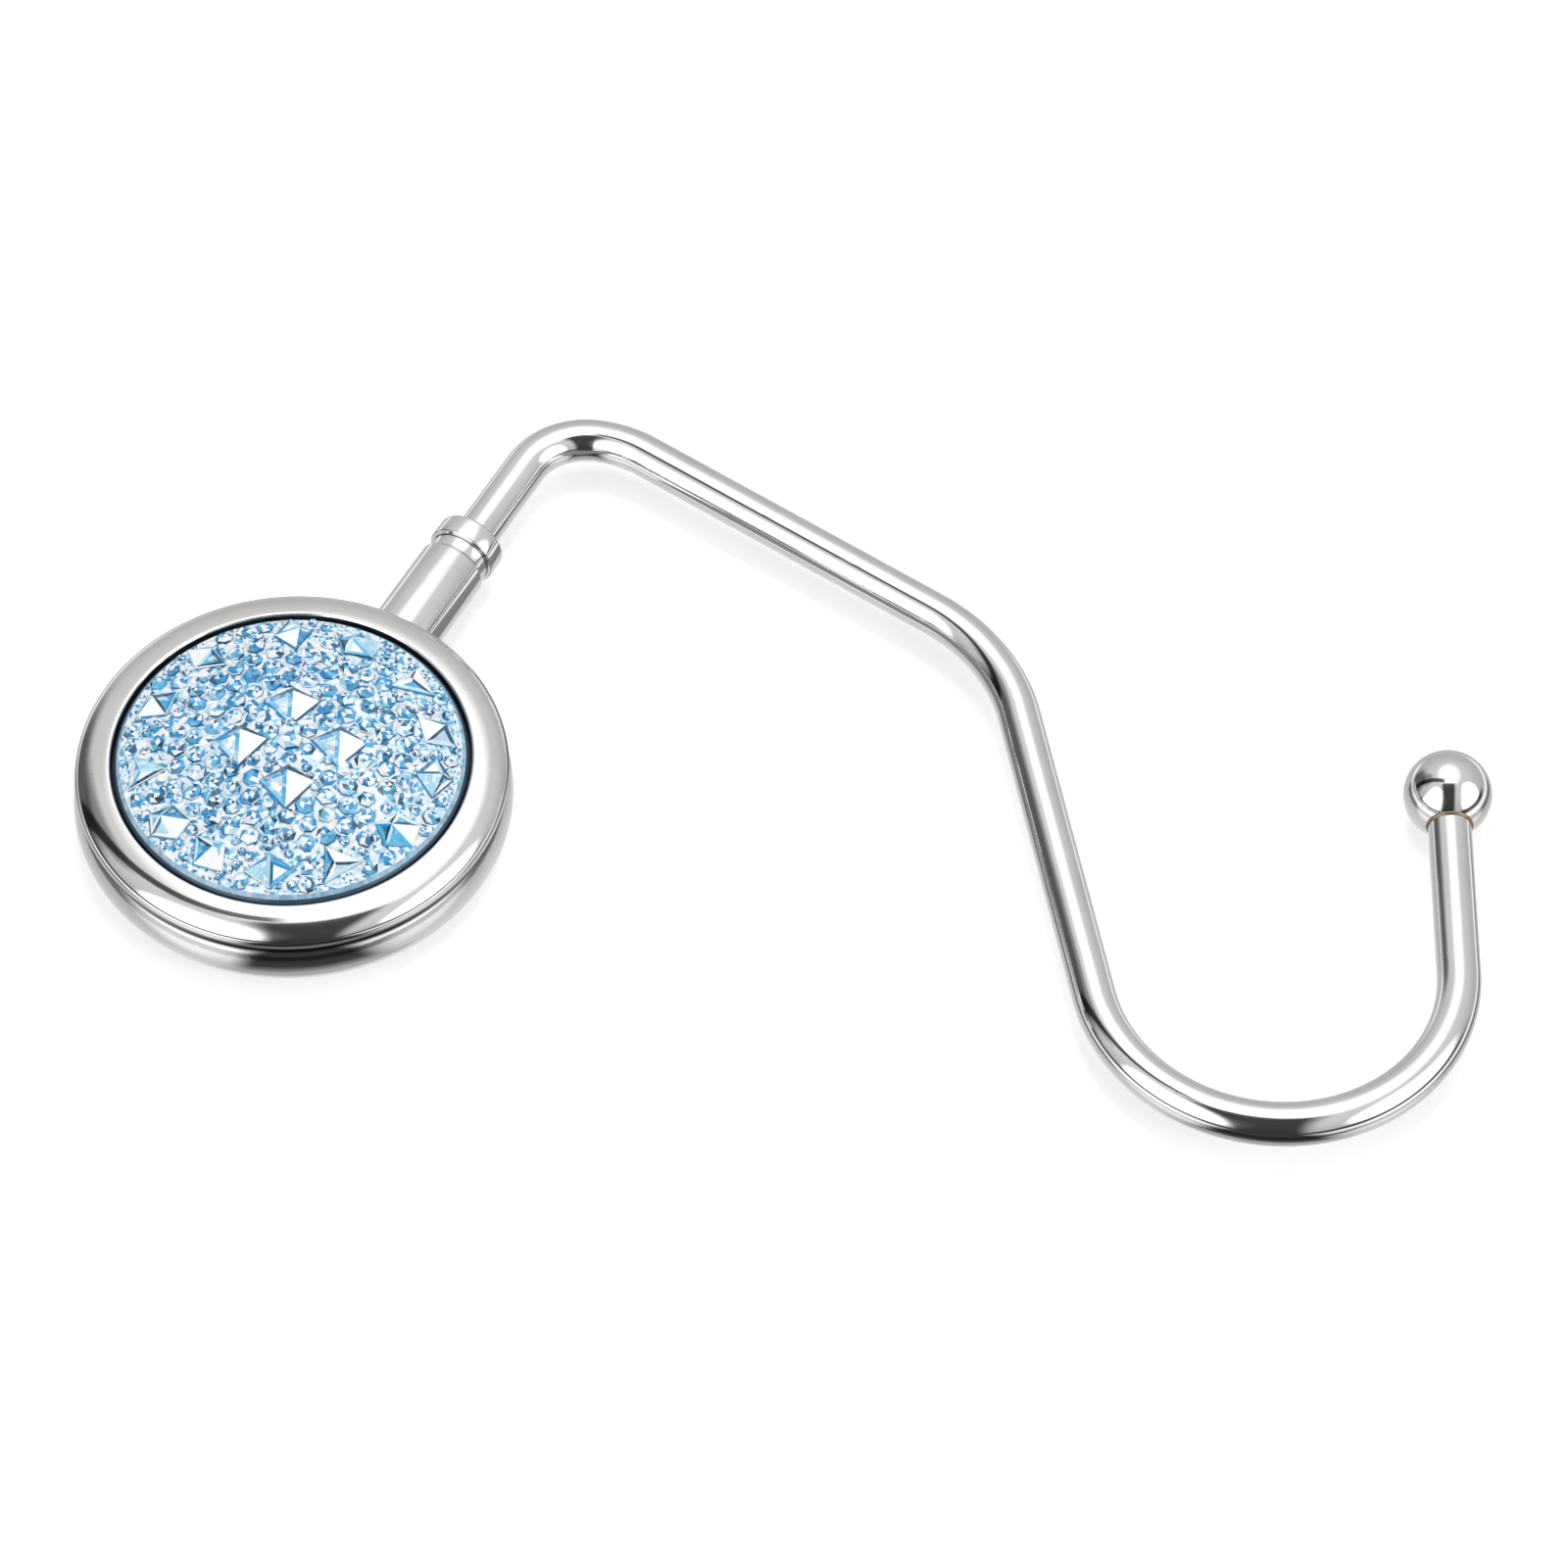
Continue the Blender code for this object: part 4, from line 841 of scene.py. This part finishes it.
TENT_TURN = math.radians(27.7)
TENT_COUNT = 4
TENT_ORBIT = 4.8 * MM
TENT_SIDE = (2.8 * MM, 0.05 * MM)
TENT_REAR = 1.9 * MM
TENT_FRONT = -3.2 * MM
TENT_PEAK = (0.0, 1.05 * MM, 0.36 * MM)
TENT_INSET = 0.42 * MM
BORDER_SHARE = 0.93
RING_ORBIT = 14.3 * MM
RING_DEGREES = (-174, -141, -114, -92, -67, -41, -13, 16, 38, 64, 93, 120, 156)
RING_RADIUS = 2.35 * MM
RING_ROOM = 0.84 * RING_RADIUS
TENT_ROOM = 1.95 * MM
CENTRE_RADIUS = 1.3 * MM
CENTRE_HEIGHT = 0.75 * MM
LARGE_ROOT = 0.5 * MM
LARGE_GIRDLE = 0.08 * MM
BORDER_RISE = 0.10 * MM
LARGE_TOP = LARGE_GIRDLE + BORDER_RISE

scatter = np.random.default_rng(11)
tent_places = [around(TENT_ORBIT, TENT_TURN + math.tau * index / TENT_COUNT) for index in range(TENT_COUNT)]
ring_places = [around(RING_ORBIT, math.radians(degrees)) for degrees in RING_DEGREES]

CHATON_PITCH = 2.12 * MM
CHATON_LEAST = 0.42 * MM
CHATON_RADII = (0.92 * MM, 1.06 * MM)
CHATON_OVERLAP = 0.05 * MM
CHATON_HEIGHT = 0.58 * MM
CHATON_HEIGHT_SHARES = (0.85, 1.15)
CHATON_LEAN = 0.12
CHATON_SINK = 0.15 * MM
CHATON_SHIFT_SHARE = 0.10
EDGE_ROW_INSET = 0.85 * MM
FILLER_TRIES = 2600
stones = [(0.0, 0.0, CENTRE_RADIUS)]
stones += [(x, y, TENT_ROOM) for x, y in tent_places]
stones += [(x, y, RING_ROOM) for x, y in ring_places]
large_count = len(stones)
edge_orbit = bed_radius - EDGE_ROW_INSET
edge_count = round(math.tau * edge_orbit / CHATON_PITCH)
sites = [around(edge_orbit, math.tau * index / edge_count) for index in range(edge_count)]
row_pitch = CHATON_PITCH * math.sin(math.radians(60.0))
row_reach = int(CABOCHON_RADIUS / row_pitch) + 1
for row in range(-row_reach, row_reach + 1):
    for step in range(-row_reach - 1, row_reach + 2):
        shift_x, shift_y = scatter.uniform(-1.0, 1.0, 2) * CHATON_PITCH * CHATON_SHIFT_SHARE
        sites.append(((step + row % 2 / 2) * CHATON_PITCH + shift_x, row * row_pitch + shift_y))
sites += [tuple(site) for site in scatter.uniform(-bed_radius, bed_radius, (FILLER_TRIES, 2))]
for x, y in sites:
    room = min(math.hypot(x - a, y - b) - r for a, b, r in stones) + CHATON_OVERLAP
    room = min(room, bed_radius + CHATON_OVERLAP - math.hypot(x, y), scatter.uniform(*CHATON_RADII))
    if room > CHATON_LEAST:
        stones.append((x, y, room))

stone_pieces = []
patterns = [round_stone("round_stone_%d" % sides, sides) for sides in (6, 7, 8)]
for x, y, radius in [stones[0]] + stones[large_count:]:
    pattern, kinds = patterns[scatter.integers(len(patterns))]
    stone = pattern.copy()
    stone.data = pattern.data.copy()
    bpy.context.scene.collection.objects.link(stone)
    height = CENTRE_HEIGHT
    if radius != CENTRE_RADIUS:
        height = CHATON_HEIGHT * scatter.uniform(*CHATON_HEIGHT_SHARES)
    lean = scatter.uniform(0.0, CHATON_LEAN)
    tilt = Matrix.Rotation(lean, 4, (scatter.uniform(-1.0, 1.0), scatter.uniform(-1.0, 1.0), 0.0))
    size = Matrix.Translation((0.0, 0.0, -CHATON_SINK)) @ Matrix.Diagonal((radius, radius, height, 1.0))
    stone.data.transform(standing(x, y, scatter.uniform(0.0, math.tau)) @ tilt @ size)
    paint_by_kind(stone, kinds, scatter)
    stone_pieces.append(stone)
for pattern, kinds in patterns:
    bpy.data.objects.remove(pattern)


def select_only(obj, corners=(), faces=()):
    """Selects some corners or some faces of a mesh and nothing else, and opens it for editing."""
    bpy.context.tool_settings.mesh_select_mode = (not faces, False, bool(faces))
    wanted = {"vertices": {c.index for c in corners}, "edges": set(), "polygons": {f.index for f in faces}}
    for part, picked in wanted.items():
        for element in getattr(obj.data, part):
            element.select = element.index in picked
    bpy.ops.object.mode_set(mode="EDIT")


def cut_blank(name, sides, radius, stretch):
    """Root and girdle of a large stone under a flat top inside a narrow bevelled border."""
    deselect()
    bpy.ops.mesh.primitive_circle_add(
        vertices=sides, radius=radius, fill_type="NGON", location=(0.0, 0.0, -LARGE_ROOT)
    )
    blank = named(name)
    bpy.ops.object.transform_apply(location=True)
    edit_all()
    widen(*stretch)
    pull((0.0, 0.0, LARGE_ROOT + LARGE_GIRDLE))
    pull((0.0, 0.0, BORDER_RISE))
    widen(BORDER_SHARE, BORDER_SHARE)
    return blank


def top_corners(stone):
    height = max(v.co.z for v in stone.data.vertices)
    return [v for v in stone.data.vertices if v.co.z > height - NEARLY]


def settle_stone(stone, x, y, turn):
    """Turns a cut stone's faces outwards and stands it on the dome, among the cabochon's stones."""
    edit_all()
    face_outwards()
    stone.data.transform(standing(x, y, turn))
    stone_pieces.append(stone)


EDGE_SHADES = (STEEL_BLUE, SKY, DEEP_SKY, PALE_ICE, INK_BLUE, WHITE_FLASH)


def crown_shades(stone, planes, draws):
    """Shades of a large stone: its broad planes from the largest down, and any shade on its edges."""
    crown = [f for f in stone.data.polygons if f.center.z > LARGE_TOP and len(f.vertices) == 3]
    crown.sort(key=lambda face: -face.area)
    for face in stone.data.polygons:
        shade = EDGE_SHADES[draws.integers(len(EDGE_SHADES))]
        paint(stone.data, [face], STEEL_BLUE if face.center.z <= LARGE_GIRDLE / 2 else shade, 0.1)
    for index, face in enumerate(crown):
        shade, pattern = planes[index % len(planes)]
        paint(stone.data, [face], shade, pattern)


TENT_RIDGE = 0.6 * TENT_PEAK[1]
# Each plane of a tent stone is painted light or shade: its white planes are painted flashes, its ink and
# steel borders and rear planes painted shade.
TENT_LOOKS = {
    "root": (STEEL_BLUE, 0.0),
    "rear_border": (INK_BLUE, 0.0),
    "left_border": (DEEP_SKY, 0.0),
    "right_border": (STEEL_BLUE, 0.0),
    "rear_left": (STEEL_BLUE, 0.15),
    "rear_right": (INK_BLUE, 0.15),
    "left": (WHITE_FLASH, 0.45),
    "right": (WHITE_FLASH, 0.04),
}
TENT_FRAME = ((SKY, 0.35), (ICE, 0.35), (DEEP_SKY, 0.35))
for index, (x, y) in enumerate(tent_places):
    tent_stone = cut_blank("tent_stone_%d" % index, 4, TENT_SIDE[0], (1.0, 1.0))
    bpy.ops.mesh.poke(offset=TENT_PEAK[2])
    end_edit()
    mesh = tent_stone.data
    for vertex in mesh.vertices:
        height = vertex.co.z
        level = BORDER_SHARE if height > LARGE_GIRDLE + NEARLY else 1.0
        if height > LARGE_TOP + NEARLY:
            vertex.co = (TENT_PEAK[0], TENT_PEAK[1], height)
        elif vertex.co.y > MM:
            vertex.co = (0.0, level * TENT_REAR, height)
        elif vertex.co.y < -MM:
            vertex.co = (0.0, level * TENT_FRONT, height)
        else:
            vertex.co = (math.copysign(level * TENT_SIDE[0], vertex.co.x), TENT_SIDE[1], height)
    left_plane = [f for f in mesh.polygons if f.center.z > LARGE_TOP and max(f.center.xy) < 0.0]
    select_only(tent_stone, faces=left_plane)
    bpy.ops.mesh.inset(thickness=TENT_INSET)
    end_edit()
    for face in mesh.polygons:
        middle = face.center
        if middle.z < LARGE_GIRDLE + NEARLY:
            look = TENT_LOOKS["root"]
        elif middle.z < LARGE_TOP and middle.y > 0.0:
            look = TENT_LOOKS["rear_border"]
        elif middle.z < LARGE_TOP:
            look = TENT_LOOKS["left_border" if middle.x < 0.0 else "right_border"]
        elif middle.y > TENT_RIDGE:
            look = TENT_LOOKS["rear_left" if middle.x <= 0.0 else "rear_right"]
        elif middle.x > 0.0:
            look = TENT_LOOKS["right"]
        elif len(face.vertices) == 3:
            look = TENT_LOOKS["left"]
        else:
            look = TENT_FRAME[face.index % 3]
        paint(mesh, [face], *look)
    settle_stone(tent_stone, x, y, TENT_TURN)

RING_CUTS = (
    {"sides": 4, "stretch": (1.05, 0.80), "peak": (0.05, 0.35)},
    {"sides": 3, "stretch": (1.10, 0.95), "peak": (-0.10, 0.05)},
    {"sides": 5, "stretch": (1.0, 0.86), "peak": (-0.30, 0.20)},
    {"sides": 4, "stretch": (0.80, 1.05), "peak": (0.30, 0.10)},
)
RING_PEAK = 0.45 * MM
RING_INSET = 0.30 * MM
RING_TURN = 0.7
# Painted light and shade on a ring stone's planes, from the largest down.
RING_PLANES = (
    ((WHITE_FLASH, 0.04), (SKY, 0.5), (ICE, 0.4), (STEEL_BLUE, 0.2), (DEEP_SKY, 0.4)),
    ((WHITE_FLASH, 0.04), (WHITE_FLASH, 0.5), (DEEP_SKY, 0.4), (ICE, 0.3), (INK_BLUE, 0.2)),
    ((PALE_ICE, 0.30), (WHITE_FLASH, 0.0), (SKY, 0.5), (INK_BLUE, 0.2), (DEEP_SKY, 0.4)),
)
for index, (x, y) in enumerate(ring_places):
    cut = RING_CUTS[index % len(RING_CUTS)]
    ring_stone = cut_blank("ring_stone_%d" % index, cut["sides"], RING_RADIUS, cut["stretch"])
    bpy.ops.mesh.poke(offset=RING_PEAK)
    end_edit()
    select_only(ring_stone, corners=top_corners(ring_stone))
    shift = [share * RING_RADIUS for share in cut["peak"]]
    bpy.ops.transform.translate(value=(*shift, 0.0))
    end_edit()
    planes = [f for f in ring_stone.data.polygons if f.center.z > LARGE_TOP]
    planes.sort(key=lambda face: -face.area)
    select_only(ring_stone, faces=planes[1:])
    bpy.ops.mesh.inset(thickness=RING_INSET, use_individual=True)
    end_edit()
    crown_shades(ring_stone, RING_PLANES[(index * 2) % 3], scatter)
    settle_stone(ring_stone, x, y, TENT_TURN + scatter.uniform(-RING_TURN, RING_TURN))

BED_SEGMENTS = 120
BED_ROUGHNESS = 0.12 * MM
BED_RISE = (-1.0, 0.7)
BED_EDGE = 0.2 * MM
deselect()
bpy.ops.mesh.primitive_circle_add(vertices=BED_SEGMENTS, radius=bed_radius, fill_type="NOTHING")
bed = named("cabochon_stones")
edit_all()
bpy.ops.mesh.fill_grid(span=BED_SEGMENTS // 4)
bpy.ops.mesh.select_all(action="SELECT")
bpy.ops.mesh.subdivide(number_cuts=1)
end_edit()
for vertex in bed.data.vertices:
    flat = Vector((vertex.co.x, vertex.co.y))
    lift = 0.0
    if flat.length < bed_radius - BED_EDGE:
        flat += Vector(scatter.uniform(-1.0, 1.0, 2)) * BED_ROUGHNESS
        lift = scatter.uniform(*BED_RISE) * BED_ROUGHNESS
    vertex.co = (flat.x, flat.y, dome_height(*flat) + lift)
edit_all()
bpy.ops.mesh.quads_convert_to_tris(quad_method="BEAUTY")
bpy.ops.mesh.select_all(action="DESELECT")
bpy.ops.mesh.select_mode(type="EDGE")
bpy.ops.mesh.select_non_manifold()
border_radii = (bed_radius, bed_radius + CLEAR_SHARE * BORDER_WIDTH, CABOCHON_RADIUS)
for inner_radius, outer_radius in zip(border_radii, border_radii[1:]):
    pull((0.0, 0.0, -BORDER_DROP * (outer_radius - inner_radius) / BORDER_WIDTH))
    widen(outer_radius / inner_radius, outer_radius / inner_radius)
pull((0.0, 0.0, -MM))
end_edit()
for vertex in bed.data.vertices:
    if vertex.select:
        vertex.co.z = cabochon_bottom
bpy.ops.object.mode_set(mode="EDIT")
bpy.ops.mesh.edge_face_add()
bpy.ops.mesh.select_mode(type="VERT")
face_outwards()
CLEAR_EDGE = (linear(160, 198, 222), linear(148, 188, 214), linear(178, 208, 228), linear(140, 180, 208))
EDGE_SHADOW = linear(66, 86, 106)
paint_by_kind(bed, ["bed"] * len(bed.data.polygons), scatter)
# The border's outer part and its wall get the painted edge shadow, the shade in the gap at its foot.
for face in bed.data.polygons:
    below_edge = face.center.z < dome_edge - BORDER_DROP
    if below_edge or off_axis(face.center) > bed_radius:
        paint(bed.data, [face], CLEAR_EDGE[scatter.integers(len(CLEAR_EDGE))], 0.1)
    if below_edge or off_axis(face.center) > border_radii[1]:
        paint(bed.data, [face], EDGE_SHADOW, 0.0)

deselect()
for stone in stone_pieces:
    stone.select_set(True)
bed.select_set(True)
bpy.context.view_layer.objects.active = bed
bpy.ops.object.join()
cabochon = bpy.context.object
# Some facets hold a fine pattern of painted smaller facets of light and shade, with dark blue lines between
# them.
INNER_SCALE = 1700.0
INNER_STOPS = ((0.0, STEEL_BLUE), (0.10, DEEP_SKY), (0.30, SKY), (0.52, ICE), (0.72, WHITE_FLASH))
INNER_SEAM = (0.02, 0.06, 0.35, 0.0)
SEAMED_LEAST = 0.18
RESIN_ROUGHNESS = (0.3, 0.7, 0.04, 0.14)
material, tree, shader = new_material("ice_resin")
facet = tree.nodes.new("ShaderNodeAttribute")
facet.attribute_name = "facet_shade"
place = own_place(tree)
patches = tree.nodes.new("ShaderNodeSeparateColor")
tree.links.new(cells(tree, place, INNER_SCALE).outputs["Color"], patches.inputs[0])
inner = shades(tree, patches.outputs[0], INNER_STOPS, "CONSTANT")
blend = mixed(tree, facet.outputs["Alpha"], facet.outputs["Color"], inner)
seams = cells(tree, place, INNER_SCALE, "DISTANCE_TO_EDGE").outputs["Distance"]
seams = spread(tree, seams, *INNER_SEAM)
seamed = maths(tree, "GREATER_THAN", facet.outputs["Alpha"], SEAMED_LEAST)
lined = mixed(tree, maths(tree, "MULTIPLY", seams, seamed), blend, DEEP_SKY)
tree.links.new(lined, shader.inputs["Base Color"])
tree.links.new(spread(tree, noise(tree, place, 900.0), *RESIN_ROUGHNESS), shader.inputs["Roughness"])
shader.inputs["IOR"].default_value = 1.42
cabochon.data.materials.clear()
cabochon.data.materials.append(material)
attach(cabochon, "disc")
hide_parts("cabochon")

# Swivel ferrule: a turned bush whose spigot is pressed into the tube. A groove, its neck, shows between
# tube and collar, and the wire turns in its bore against a nylon washer.
FERRULE_BORE = 1.9 * MM
BORE_BREAK = 0.1 * MM
SPIGOT_RADIUS = 2.6 * MM
NECK_RADIUS = 3.08 * MM
NECK_LENGTH = 1.4 * MM
NECK_GAP = 0.1 * MM
NECK_ROUND = 0.12 * MM
COLLAR_RADIUS = 3.53 * MM
COLLAR_ROUND = 0.35 * MM
COLLAR_BREAK = 0.15 * MM
# Painted shade darkens the collar's rear edge, where it steps down to the neck.
COLLAR_PAINTED_SHADE_RISE = -0.12 * MM
COLLAR_PAINTED_SHADE_REACH = (0.03 * MM, 0.11 * MM)
ferrule_low, ferrule_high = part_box("swivel_ferrule")
collar_face = ferrule_high.y
neck_start = stem_end + NECK_GAP
neck_end = neck_start + NECK_LENGTH
profile = [(FERRULE_BORE, collar_face - BORE_BREAK), (FERRULE_BORE + BORE_BREAK, collar_face)]
collar_corner = (COLLAR_RADIUS - COLLAR_ROUND, collar_face - COLLAR_ROUND)
profile += arc(*collar_corner, COLLAR_ROUND, COLLAR_ROUND, 90, 0, 8)
profile += arc(COLLAR_RADIUS - COLLAR_BREAK, neck_end + COLLAR_BREAK, COLLAR_BREAK, COLLAR_BREAK, 0, -90, 4)
profile += arc(NECK_RADIUS + NECK_ROUND, neck_end - NECK_ROUND, NECK_ROUND, NECK_ROUND, 90, 180, 4)
profile += [(NECK_RADIUS, neck_start), (SPIGOT_RADIUS, neck_start), (SPIGOT_RADIUS, ferrule_low.y)]
profile += [(FERRULE_BORE, ferrule_low.y), (FERRULE_BORE, collar_face - BORE_BREAK)]
ferrule = laid_along_stem(turned("swivel_ferrule_skin", profile, STEM_STEPS))
# The collar's rear edge gets the painted shade.
collar_seam_shade = ((0.0, 1.0, 0.0), neck_end + COLLAR_PAINTED_SHADE_RISE, COLLAR_PAINTED_SHADE_REACH)
ferrule.data.materials.append(plating("ferrule_plating_polish", 200.0, 0.9, collar_seam_shade))
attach(ferrule, "disc")
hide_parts("swivel_ferrule")

NYLON_SHADES = ((0.3, (0.68, 0.67, 0.62)), (0.7, (0.80, 0.79, 0.75)))
NYLON_ROUGHNESS = (0.3, 0.7, 0.35, 0.55)
nylon = clouded("milky_nylon", (600.0, 4.0), NYLON_SHADES, NYLON_ROUGHNESS, 0.01 * MM)
redress("thrust_washer", nylon)

# Hook wire: 4.3 mm round wire, bent over formers and plated, with a turned journal that the clip holds
# in the stem. It is drawn as it is bent: one ring of the wire is pulled along each straight length and
# spun round each bend.
WIRE_RADIUS = 2.13 * MM
WIRE_SIDES = 48
JOURNAL_RADIUS = 1.8 * MM
SHOULDER_GAP = 0.1 * MM
ROOT_LENGTH = 10.6 * MM
TIP_LENGTH = 21.2 * MM
BENDS = (
    {"radius": 7.0 * MM, "degrees": -70.0, "straight": 0.0, "steps": 28},
    {"radius": 12.0 * MM, "degrees": -26.0, "straight": 34.87 * MM, "steps": 12},
    {"radius": 20.0 * MM, "degrees": -44.6, "straight": 34.0 * MM, "steps": 24},
    {"radius": 17.65 * MM, "degrees": 168.6, "straight": TIP_LENGTH, "steps": 72},
)
BALL_SEAT = 0.2 * MM
ball_low, ball_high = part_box("ball_tip")
ball_radius = (ball_high.z - ball_low.z) / 2
seat_depth = math.sqrt(ball_radius ** 2 - WIRE_RADIUS ** 2) - BALL_SEAT


def ring_middle(obj):
    """Middle of the selected ring of the wire."""
    end_edit()
    ring = [v.co.copy() for v in obj.data.vertices if v.select]
    bpy.ops.object.mode_set(mode="EDIT")
    return sum(ring, Vector()) / len(ring)


deselect()
journal_end = (0.0, ferrule_low.y, 0.0)
across_stem = (math.pi / 2, 0.0, 0.0)
bpy.ops.mesh.primitive_circle_add(
    vertices=WIRE_SIDES, radius=JOURNAL_RADIUS, location=journal_end, rotation=across_stem
)
wire = named("hook_wire_skin")
bpy.ops.object.transform_apply(location=True, rotation=True, scale=True)
edit_all()
wire_way = Vector((0.0, 1.0, 0.0))
shoulder = collar_face + SHOULDER_GAP
pull((shoulder - ferrule_low.y) * wire_way)
pull((0.0, 0.0, 0.0))
bpy.ops.transform.resize(value=(WIRE_RADIUS / JOURNAL_RADIUS,) * 3, center_override=(0.0, shoulder, 0.0))
pull((collar_face + ROOT_LENGTH - shoulder) * wire_way)
angle = math.pi / 2
for bend in BENDS:
    side = math.copysign(math.pi / 2, bend["degrees"])
    middle = ring_middle(wire)
    centre = middle + bend["radius"] * Vector((math.cos(angle + side), math.sin(angle + side), 0.0))
    turn = math.radians(bend["degrees"])
    bpy.ops.mesh.spin(steps=bend["steps"], angle=-turn, center=centre, axis=(0.0, 0.0, 1.0))
    angle += turn
    wire_way = Vector((math.cos(angle), math.sin(angle), 0.0))
    length = bend["straight"]
    if bend is BENDS[-1]:
        length -= seat_depth
    if length > 0.0:
        pull(length * wire_way)
tip = ring_middle(wire)
bpy.ops.mesh.select_all(action="SELECT")
bpy.ops.mesh.remove_doubles(threshold=0.001 * MM)
bpy.ops.mesh.select_all(action="DESELECT")
bpy.ops.mesh.select_non_manifold()
bpy.ops.mesh.edge_face_add()
face_outwards()
ball_middle_x = (ball_low.x + ball_high.x) / 2
rest_turn = math.asin((axis_height - ball_radius) / ball_middle_x)
swivel = Matrix.Translation((0.0, 0.0, axis_height)) @ Matrix.Rotation(rest_turn, 4, "Y")
wire.data.transform(swivel)
smooth(40.0)
wire.data.materials.append(plating("wire_plating_polish", 110.0, 1.9))
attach(wire, "hook")
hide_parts("hook_wire")

BLUED_SHADES = ((0.3, (0.035, 0.045, 0.075)), (0.7, (0.10, 0.10, 0.13)))
BLUED_ROUGHNESS = (0.3, 0.7, 0.25, 0.45)
blued = clouded("blued_spring_steel", (700.0, 4.0), BLUED_SHADES, BLUED_ROUGHNESS, 0.01 * MM, 1.0)
redress("retaining_clip", blued)

# Ball: bored to take the wire's end, soldered on and plated with it. A thin warm line of solder shows
# where the two meet.
BALL_RIM = 0.1 * MM
BALL_BORE = 0.15 * MM
SOLDER_RADIUS = 0.14 * MM
SOLDER_FILLET = 1.35
SOLDER_UNEVEN = 0.02 * MM
SOLDER_SHADES = ((0.3, (0.20, 0.13, 0.08)), (0.7, (0.42, 0.33, 0.24)))
SOLDER_ROUGHNESS = (0.3, 0.7, 0.25, 0.5)
deselect()
bpy.ops.mesh.primitive_uv_sphere_add(segments=72, ring_count=48, radius=ball_radius)
ball = named("ball_tip_skin")
bpy.ops.object.mode_set(mode="EDIT")
bpy.ops.mesh.select_all(action="DESELECT")
end_edit()
for face in ball.data.polygons:
    face.select = face.center.z < 0 and off_axis(face.center) < WIRE_RADIUS + BALL_RIM
bpy.ops.object.mode_set(mode="EDIT")
pull((0.0, 0.0, BALL_BORE))
end_edit()
tip_turn = Matrix.Rotation(angle - math.pi / 2, 4, "Z") @ Matrix.Rotation(-math.pi / 2, 4, "X")
ball.data.transform(swivel @ Matrix.Translation(tip + seat_depth * wire_way) @ tip_turn)
smooth(30.0)
ball.data.materials.append(plating("ball_plating_polish", 210.0, 0.0))
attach(ball, "hook")
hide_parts("ball_tip")

deselect()
bpy.ops.mesh.primitive_torus_add(
    major_radius=WIRE_RADIUS + SOLDER_RADIUS / 3, minor_radius=SOLDER_RADIUS,
    major_segments=56, minor_segments=8
)
solder = named("solder_line")
edit_all()
bpy.ops.transform.resize(value=(1.0, 1.0, SOLDER_FILLET))
bpy.ops.transform.vertex_random(offset=SOLDER_UNEVEN, uniform=0.0, normal=0.0, seed=5)
end_edit()
solder.data.transform(swivel @ Matrix.Translation(tip - BALL_SEAT * wire_way) @ tip_turn)
smooth(60.0)
warm = clouded("warm_solder", (900.0, 4.0), SOLDER_SHADES, SOLDER_ROUGHNESS, 0.02 * MM, 0.9)
solder.data.materials.append(warm)
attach(solder, "hook")
